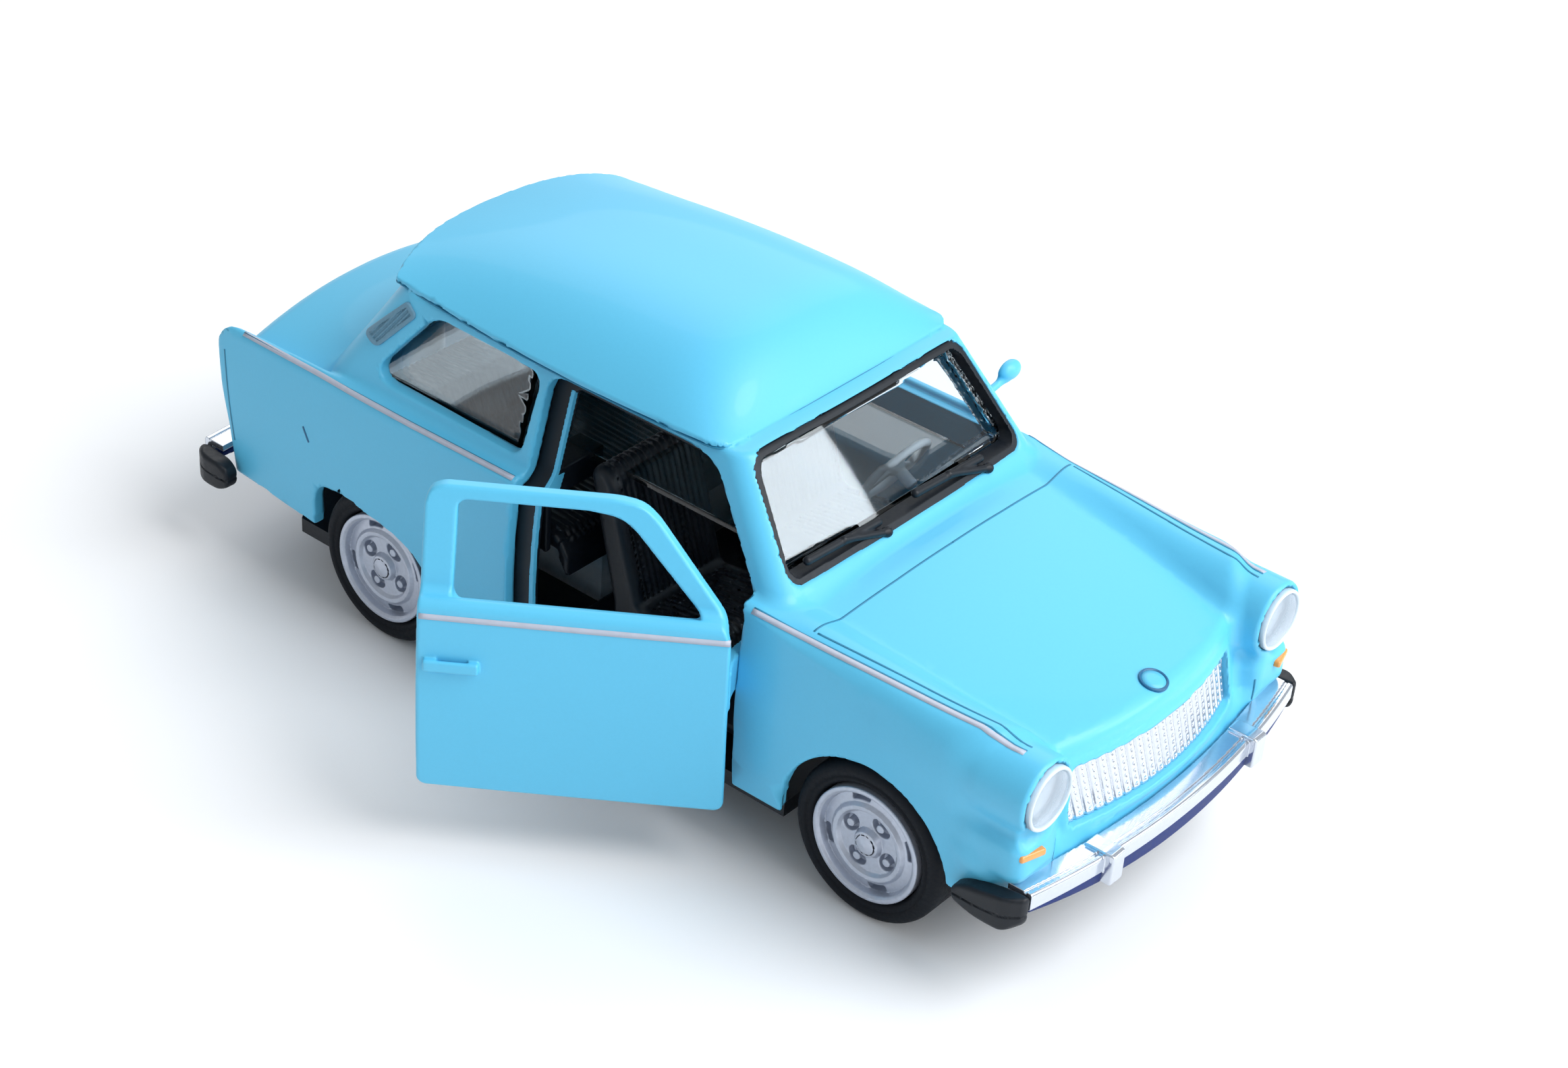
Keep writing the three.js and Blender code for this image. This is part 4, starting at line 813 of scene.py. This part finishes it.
def steering_field(x, y, z):
    """Steering wheel with a thin rim, three spokes, a hub and its column."""
    dx, v, dz = (p - centre for p, centre in zip((x, y, z), STEERING["centre"]))
    cos, sin = math.cos(STEERING["tilt"]), math.sin(STEERING["tilt"])
    u, w = dx * cos - dz * sin, dx * sin + dz * cos
    radius, turn = np.hypot(v, w), np.arctan2(w, v)
    rim = np.hypot(radius - STEERING["r"], u) - 0.4
    third = (turn - math.pi / 2 + math.pi / 3) % (2 * math.pi / 3) - math.pi / 3
    spoke = both(slab(u, -0.22, 0.22), np.abs(radius * np.sin(third)) - 0.4, 0.15)
    spoke = both(spoke, slab(radius, 0.2, STEERING["r"]))
    hub = both(radius - 0.95, slab(u, -0.55, 0.5), 0.3)
    column = both(radius - 0.6, slab(u, 0.0, 2.5), 0.2)
    return either(either(rim, spoke, 0.25), either(hub, column, 0.2), 0.2)


def door_mirror_field(x, y, z):
    """The left door's mirror: an oval head, cut flat behind, on a stem."""
    head = (np.sqrt((x - 11.0) ** 2 / 0.81 + (y - 23.1) ** 2 / 2.25 + (z - 30.0) ** 2) - 1) * 0.85
    glass = 10.55 - x
    stem = capsule(x, y, z, (11.0, 18.6, 28.6), (11.0, 22.4, 29.3), 0.38)
    return either(both(head, glass, 0.15), stem, 0.4)


# ---- Camera, floor and light ----
VIEW = {"azimuth": 37.17, "elevation": 33.35, "roll": 4.55, "lens": 67.784, "sensor": 36,
        "aim": (0.00019, 0.00386, 0.015 + GROUND * MM), "distance": 0.2834}
WHITE = (1, 1, 1)
LIGHTS = (("key_light", (0.52, 0.18, 0.76), 0.62, 6.6, WHITE),
          ("back_light", (-0.36, 0.48, 0.46), 0.7, 1.7, WHITE),
          ("front_light", (0.62, -0.05, 0.25), 0.35, 1.0, WHITE),
          ("window_card", (0.45, 0.32, 0.25), 0.2, 0.8, (0.86, 0.94, 1.0)))


def camera():
    """The photograph's view of the car."""
    azimuth, elevation, roll = (math.radians(VIEW[key]) for key in ("azimuth", "elevation", "roll"))
    back = Vector((math.sin(azimuth) * math.cos(elevation), -math.cos(azimuth) * math.cos(elevation),
                   math.sin(elevation)))
    right = Vector((math.cos(azimuth), math.sin(azimuth), 0))
    up = back.cross(right)
    turned_right = right * math.cos(roll) + up * math.sin(roll)
    turned_up = up * math.cos(roll) - right * math.sin(roll)
    data = bpy.data.cameras.new("camera")
    data.lens = VIEW["lens"]
    data.sensor_width = VIEW["sensor"]
    data.clip_start = 0.01
    made = bpy.data.objects.new("camera", data)
    turn = Matrix((turned_right, turned_up, back)).transposed().to_4x4()
    made.matrix_world = Matrix.Translation(Vector(VIEW["aim"]) + back * VIEW["distance"]) @ turn
    bpy.context.scene.collection.objects.link(made)
    bpy.context.scene.camera = made


def finish_material(name, colour, rough, metal=0.0, coat=0.0, grain=3000.0, bump=0.02, vary=0.05,
                    shine=0.5, alpha=1.0):
    """A surface whose colour, roughness and fine relief all vary with noise."""
    made = bpy.data.materials.new(name)
    made.use_nodes = True
    nodes, links = made.node_tree.nodes, made.node_tree.links
    shader = nodes["Principled BSDF"]
    where = nodes.new("ShaderNodeTexCoord")
    noise = nodes.new("ShaderNodeTexNoise")
    noise.inputs["Scale"].default_value = grain
    noise.inputs["Detail"].default_value = 4
    links.new(where.outputs["Object"], noise.inputs["Vector"])
    tint = nodes.new("ShaderNodeValToRGB")
    tint.color_ramp.elements[0].position = 0.3
    tint.color_ramp.elements[1].position = 0.7
    tint.color_ramp.elements[0].color = (*[c * (1 - vary) for c in colour], 1)
    tint.color_ramp.elements[1].color = (*[min(c * (1 + vary), 1) for c in colour], 1)
    links.new(noise.outputs["Fac"], tint.inputs["Fac"])
    links.new(tint.outputs["Color"], shader.inputs["Base Color"])
    patches = nodes.new("ShaderNodeMapRange")
    patches.inputs["To Min"].default_value = rough * (1 - 2 * vary)
    patches.inputs["To Max"].default_value = min(rough * (1 + 2 * vary), 1)
    links.new(noise.outputs["Fac"], patches.inputs["Value"])
    links.new(patches.outputs["Result"], shader.inputs["Roughness"])
    relief = nodes.new("ShaderNodeBump")
    relief.inputs["Strength"].default_value = bump
    relief.inputs["Distance"].default_value = 0.0001
    links.new(noise.outputs["Fac"], relief.inputs["Height"])
    links.new(relief.outputs["Normal"], shader.inputs["Normal"])
    shader.inputs["Metallic"].default_value = metal
    shader.inputs["Specular IOR Level"].default_value = shine
    shader.inputs["Coat Weight"].default_value = coat
    shader.inputs["Coat Roughness"].default_value = 0.05
    shader.inputs["Alpha"].default_value = alpha
    return made


def glass_material(name):
    """Clear moulded plastic, its tint and roughness varying faintly."""
    made = finish_material(name, (0.86, 0.93, 0.97), 0.02, grain=160, bump=0.0, vary=0.02)
    shader = made.node_tree.nodes["Principled BSDF"]
    shader.inputs["Transmission Weight"].default_value = 1.0
    shader.inputs["IOR"].default_value = 1.55
    return made


def studio():
    """A pale floor, an even sky and four soft lights."""
    floor_mesh = bpy.data.meshes.new("floor")
    reach = 1.5
    corners = [(-reach, -reach, 0), (reach, -reach, 0), (reach, reach, 0), (-reach, reach, 0)]
    floor_mesh.from_pydata(corners, [], [(0, 1, 2, 3)])
    floor = bpy.data.objects.new("floor", floor_mesh)
    floor.location.z = GROUND * MM
    white = finish_material("floor_white", (0.93, 0.935, 0.95), 0.6, grain=40, vary=0.004)
    floor_mesh.materials.append(white)
    bpy.context.scene.collection.objects.link(floor)
    world = bpy.data.worlds.new("studio")
    world.use_nodes = True
    sky = world.node_tree.nodes["Background"]
    sky.inputs["Color"].default_value = (0.93, 0.97, 1.0, 1)
    sky.inputs["Strength"].default_value = 0.5
    bpy.context.scene.world = world
    for name, place, size, power, colour in LIGHTS:
        light = bpy.data.lights.new(name, "AREA")
        light.shape = "DISK"
        light.size = size
        light.energy = power
        light.color = colour
        made = bpy.data.objects.new(name, light)
        made.location = place
        made.rotation_mode = "QUATERNION"
        made.rotation_quaternion = Vector(place).to_track_quat("Z", "Y")
        bpy.context.scene.collection.objects.link(made)
    bpy.context.scene.view_settings.view_transform = "Standard"


# ---- Materials ----
PAINT = finish_material("blue_paint", (0.10, 0.52, 0.79), 0.46, coat=0.12, bump=0.0, vary=0.01)
MATERIALS = {
    "body_paint": PAINT,
    "black_plastic": finish_material("black_plastic", (0.005, 0.008, 0.013), 0.45, vary=0.2, shine=0.35),
    "tyre_rubber": finish_material("tyre_rubber", (0.004, 0.006, 0.010), 0.65, bump=0.03, vary=0.2,
                                   shine=0.2),
    "silver_plastic": finish_material("silver_paint", (0.50, 0.54, 0.63), 0.36, metal=0.6, bump=0.01),
    "chrome_plating": finish_material("chrome", (0.66, 0.70, 0.77), 0.16, metal=0.9, bump=0.0, vary=0.03),
    "steel": finish_material("steel", (0.58, 0.59, 0.62), 0.3, metal=1.0, grain=2200, bump=0.05),
    "amber_lens": finish_material("amber_lens", (0.78, 0.33, 0.08), 0.25, coat=0.4, grain=900),
    "red_lens": finish_material("red_lens", (0.42, 0.02, 0.02), 0.18, coat=0.5, grain=900),
    "pale_plastic": finish_material("pale_plastic", (0.62, 0.66, 0.70), 0.4, grain=1200, bump=0.03),
    "gear_plastic": finish_material("white_acetal", (0.80, 0.78, 0.72), 0.45, grain=1400, bump=0.03),
    "clear_plastic": glass_material("clear_plastic"),
}
BRIGHT = finish_material("bright_paint", (0.60, 0.70, 0.78), 0.3, coat=0.3, vary=0.02)
STRIP_GREY = finish_material("strip_grey", (0.46, 0.50, 0.60), 0.4, grain=900)
LAMP_GLASS = finish_material("lamp_glass", (0.74, 0.84, 0.94), 0.08, coat=0.6, bump=0.0, vary=0.02,
                             alpha=0.35)
# Dark blue for the panel gaps and lines, also used as painted shadow under the roof's lip.
GAP_AND_SHADOW_BLUE = finish_material("panel_gap", (0.02, 0.21, 0.36), 0.5, bump=0.0)
VENT_BLUE = finish_material("vent_blue", (0.12, 0.27, 0.38), 0.5, bump=0.0)
# Dark navy of the bumper lips and brackets: partly their own dark colour, partly painted shade of the shadow
# beneath the bars.
LIP_DARK_AND_SHADE = finish_material("lip_dark_and_painted_shade", (0.010, 0.026, 0.14), 0.5, bump=0.0, vary=0.15, shine=0.2)
PRINT_BLUE = finish_material("badge_print", (0.01, 0.12, 0.26), 0.35, grain=900)


# ---- The car, piece by piece ----
HUB_TURN = math.radians(-17)        # how far the wheels have rolled in the photograph
BADGE = {"centre": (44.2, 0, 22.42), "lean": 0.205}

camera()
studio()

for row in frame["record"]["subparts"]:
    node = frame["nodes"][row["node"]]
    node.data.materials.clear()
    node.data.materials.append(MATERIALS[row["material_slot"]])


def add(name, shape, slot, body="chassis", replaces=(), material=None):
    """A piece in its slot's material, unless it is given its own."""
    return piece(name, *shape, material or MATERIALS[slot], body, slot, replaces)


def add_pair(name, shape, slot, replaces=None, material=None):
    """A left piece and its mirror image; SIDE in a name stands for left and right."""
    for side, half in (("left", shape), ("right", mirrored(shape))):
        replaced = [replaces.replace("SIDE", side)] if replaces else ()
        add(name.replace("SIDE", side), half, slot, replaces=replaced, material=material)


def around(node, pad=0.45):
    """A node's box, a little larger."""
    low, high = node_box(node)
    return low - pad, high + pad


def facing_front(shape):
    """A shape made about the z axis, with its upper side turned to the front."""
    return turned(shape, math.pi / 2, "Y")


body_skin = skin(body_field, (-55.5, 0, 5.6), (48.6, 23.4, 43.6), 0.33, mirror=True, adaptivity=0.02)
add("painted_body", body_skin, "body_paint", replaces=["body_shell"])

door_skin = skin(door_field, (-13.2, 11.0, 5.8), (24.0, 23.2, 37.2), 0.22)
add("painted_left_door", door_skin, "body_paint", "left_door", ["left_door"])
add("painted_right_door", on_right_door(door_skin), "body_paint", "right_door", ["right_door"])
door_mirror = skin(door_mirror_field, *around("left_door_mirror"), 0.12)
add("door_mirror_shell", door_mirror, "body_paint", "left_door", ["left_door_mirror"])

# Black on the door flanges is painted shade of the recessed doorways.
doorway_shade = skin(doorway_shade_field, (-13.2, 11.0, 5.8), (16.4, 23.2, 37.2), 0.16)
add_pair("SIDE_door_seal", doorway_shade, "black_plastic")
jamb = skin(jamb_edge_field, (-11.2, 11.0, 8.6), (-9.6, 22.0, 35.0), 0.15)
add_pair("SIDE_jamb_edge", jamb, "body_paint")

glass = skin(glass_field, (-42, 0, 25.6), (19.5, 20, 37.2), 0.3, mirror=True, adaptivity=0.01)
add("glass_shell", glass, "clear_plastic", replaces=["window_glazing"])
# Painted shadow: a dark line under the roof's lip.
rim_line = skin(lip_shadow_field, (-38, 0, 36.2), (9.4, 18, 37.2), 0.1, mirror=True, adaptivity=0.01)
add("roof_lip_shadow_line", rim_line, "body_paint", material=GAP_AND_SHADOW_BLUE)
for name, field, low, high in (
        ("windscreen", surround_field(FRONT_SCREEN, 1.6, (4, 26), (-0.45, -0.5, -0.5)),
         (7, 0, 25.4), (19.5, 19, 37.6)),
        ("rear_screen", surround_field(REAR_SCREEN, 2.0, (-50, -27), (-0.6, -0.4, -0.4)),
         (-43, 0, 26), (-30, 18, 38))):
    add(f"{name}_surround", skin(field, low, high, 0.14, mirror=True), "black_plastic")
for node, start, end in (("left_wiper", 1.2, 10.6), ("right_wiper", -14.2, -4.6)):
    blade = skin(wiper_field(start, end), (15.0, start - 1, 25.6), (20.0, end + 1.4, 30.2), 0.1)
    add(f"{node}_blade", blade, "black_plastic", replaces=[node])

for name, knots in (("front", BELT_FRONT), ("rear", BELT_REAR)):
    add_pair(f"{name}_SIDE_belt_strip", strip(knots, 0.26), "body_paint", material=STRIP_GREY)
    edge = strip(inboard(knots, 0.36), 0.09, lift=0.03)
    add_pair(f"{name}_SIDE_belt_edge", edge, "body_paint", material=GAP_AND_SHADOW_BLUE)
band = strip(BELT_DOOR, 0.26)
add("left_door_belt_strip", band, "body_paint", "left_door", material=STRIP_GREY)
add("right_door_belt_strip", on_right_door(band), "body_paint", "right_door", material=STRIP_GREY)
for number, knots in enumerate(panel_gaps()):
    gap = strip(knots, 0.09, lift=0.03)
    add_pair(f"SIDE_panel_gap_{number}", gap, "body_paint", material=GAP_AND_SHADOW_BLUE)
mark = strip([(-39.4, 21.0, 18.4), (-40.3, 21.0, 19.8)], 0.12, lift=0.03, count=8)
add("filler_flap_mark", mirrored(mark), "body_paint", material=PRINT_BLUE)
vent = skin(vent_field, (-37, 14, 29), (-28.5, 20, 36.5), 0.1)
add_pair("SIDE_pillar_vent", vent, "body_paint", material=VENT_BLUE)

tyre = turned(tyre_shape(), -math.pi / 2, "X")
rim = turned(skin(rim_field, (-6.2, -6.2, -5.4), (6.2, 6.2, 0.4), 0.13), -math.pi / 2, "X")
rim = turned(rim, HUB_TURN, "Y")
for end, at in (("front", AXLE_X), ("rear", -AXLE_X)):
    left = moved(tyre, (at, TYRE_IN, WHEEL_R)), moved(rim, (at, RIM_FACE, WHEEL_R))
    for side, (ring, dish) in (("left", left), ("right", [mirrored(shape) for shape in left])):
        add(f"{end}_{side}_tyre_ring", ring, "tyre_rubber", f"{end}_wheels", [f"{end}_{side}_tyre"])
        add(f"{end}_{side}_rim_dish", dish, "silver_plastic", f"{end}_wheels", [f"{end}_{side}_rim"])

for end in BUMPERS:
    low, high = around(f"{end}_bumper_bar")
    low[1] = 0
    add(f"{end}_bumper_chrome", skin(bumper_field(end), low, high, 0.12, mirror=True),
        "chrome_plating", replaces=[f"{end}_bumper_bar"])
    # The lip's dark colour is partly painted shade.
    add(f"{end}_bumper_lip", skin(lip_field(end), low, high, 0.14, mirror=True),
        "black_plastic", material=LIP_DARK_AND_SHADE)
    corner = skin(corner_field(end), *around(f"{end}_left_bumper_corner"), 0.12)
    add_pair(f"{end}_SIDE_corner_cap", corner, "black_plastic", f"{end}_SIDE_bumper_corner")

grille = skin(grille_field, (43.2, -13.2, 13.8), (47.4, 13.2, 20.2), 0.1)
add("grille_mesh", grille, "chrome_plating", replaces=["grille"])
bezel = moved(facing_front(bezel_shape()), (LENS_LOW[0], *LAMP[1:]))
add_pair("SIDE_headlamp_bezel", bezel, "silver_plastic", material=BRIGHT)
lens = moved(facing_front(lens_shape()), (LENS_LOW[0], *LAMP[1:]))
bowl_back = node_box("left_headlamp_reflector")[0][0]
bowl = moved(facing_front(reflector_shape()), (bowl_back, *LAMP[1:]))
indicator = skin(indicator_field, *around("left_indicator"), 0.08)
tail_lamp = skin(tail_lamp_field, *around("left_tail_lamp", 2.0), 0.1)
for part, shape, slot, look in (("indicator", indicator, "amber_lens", None),
                                ("tail_lamp", tail_lamp, "red_lens", None),
                                ("headlamp_lens", lens, "clear_plastic", LAMP_GLASS),
                                ("headlamp_reflector", bowl, "chrome_plating", BRIGHT)):
    add_pair(f"SIDE_{part}_detail", shape, slot, f"SIDE_{part}", look)
for name, shape, look in zip(("badge_rim", "badge_field"), badge_shape(), (PRINT_BLUE, PAINT)):
    add(name, moved(turned(shape, BADGE["lean"], "Y"), BADGE["centre"]), "silver_plastic",
        replaces=["bonnet_badge"] if name == "badge_rim" else (), material=look)

tub = skin(tub_field, (-35, 0, 8.6), (14.2, 18.2, 28.6), 0.2, mirror=True, adaptivity=0.02)
add("seats_and_floor", tub, "black_plastic", replaces=["interior_tub"])
board = skin(dashboard_field, *around("dashboard"), 0.18)
add("dashboard_moulding", board, "black_plastic", replaces=["dashboard"])
steering = skin(steering_field, *around("steering_wheel"), 0.14)
add("steering_wheel_moulding", steering, "pale_plastic", replaces=["steering_wheel"])
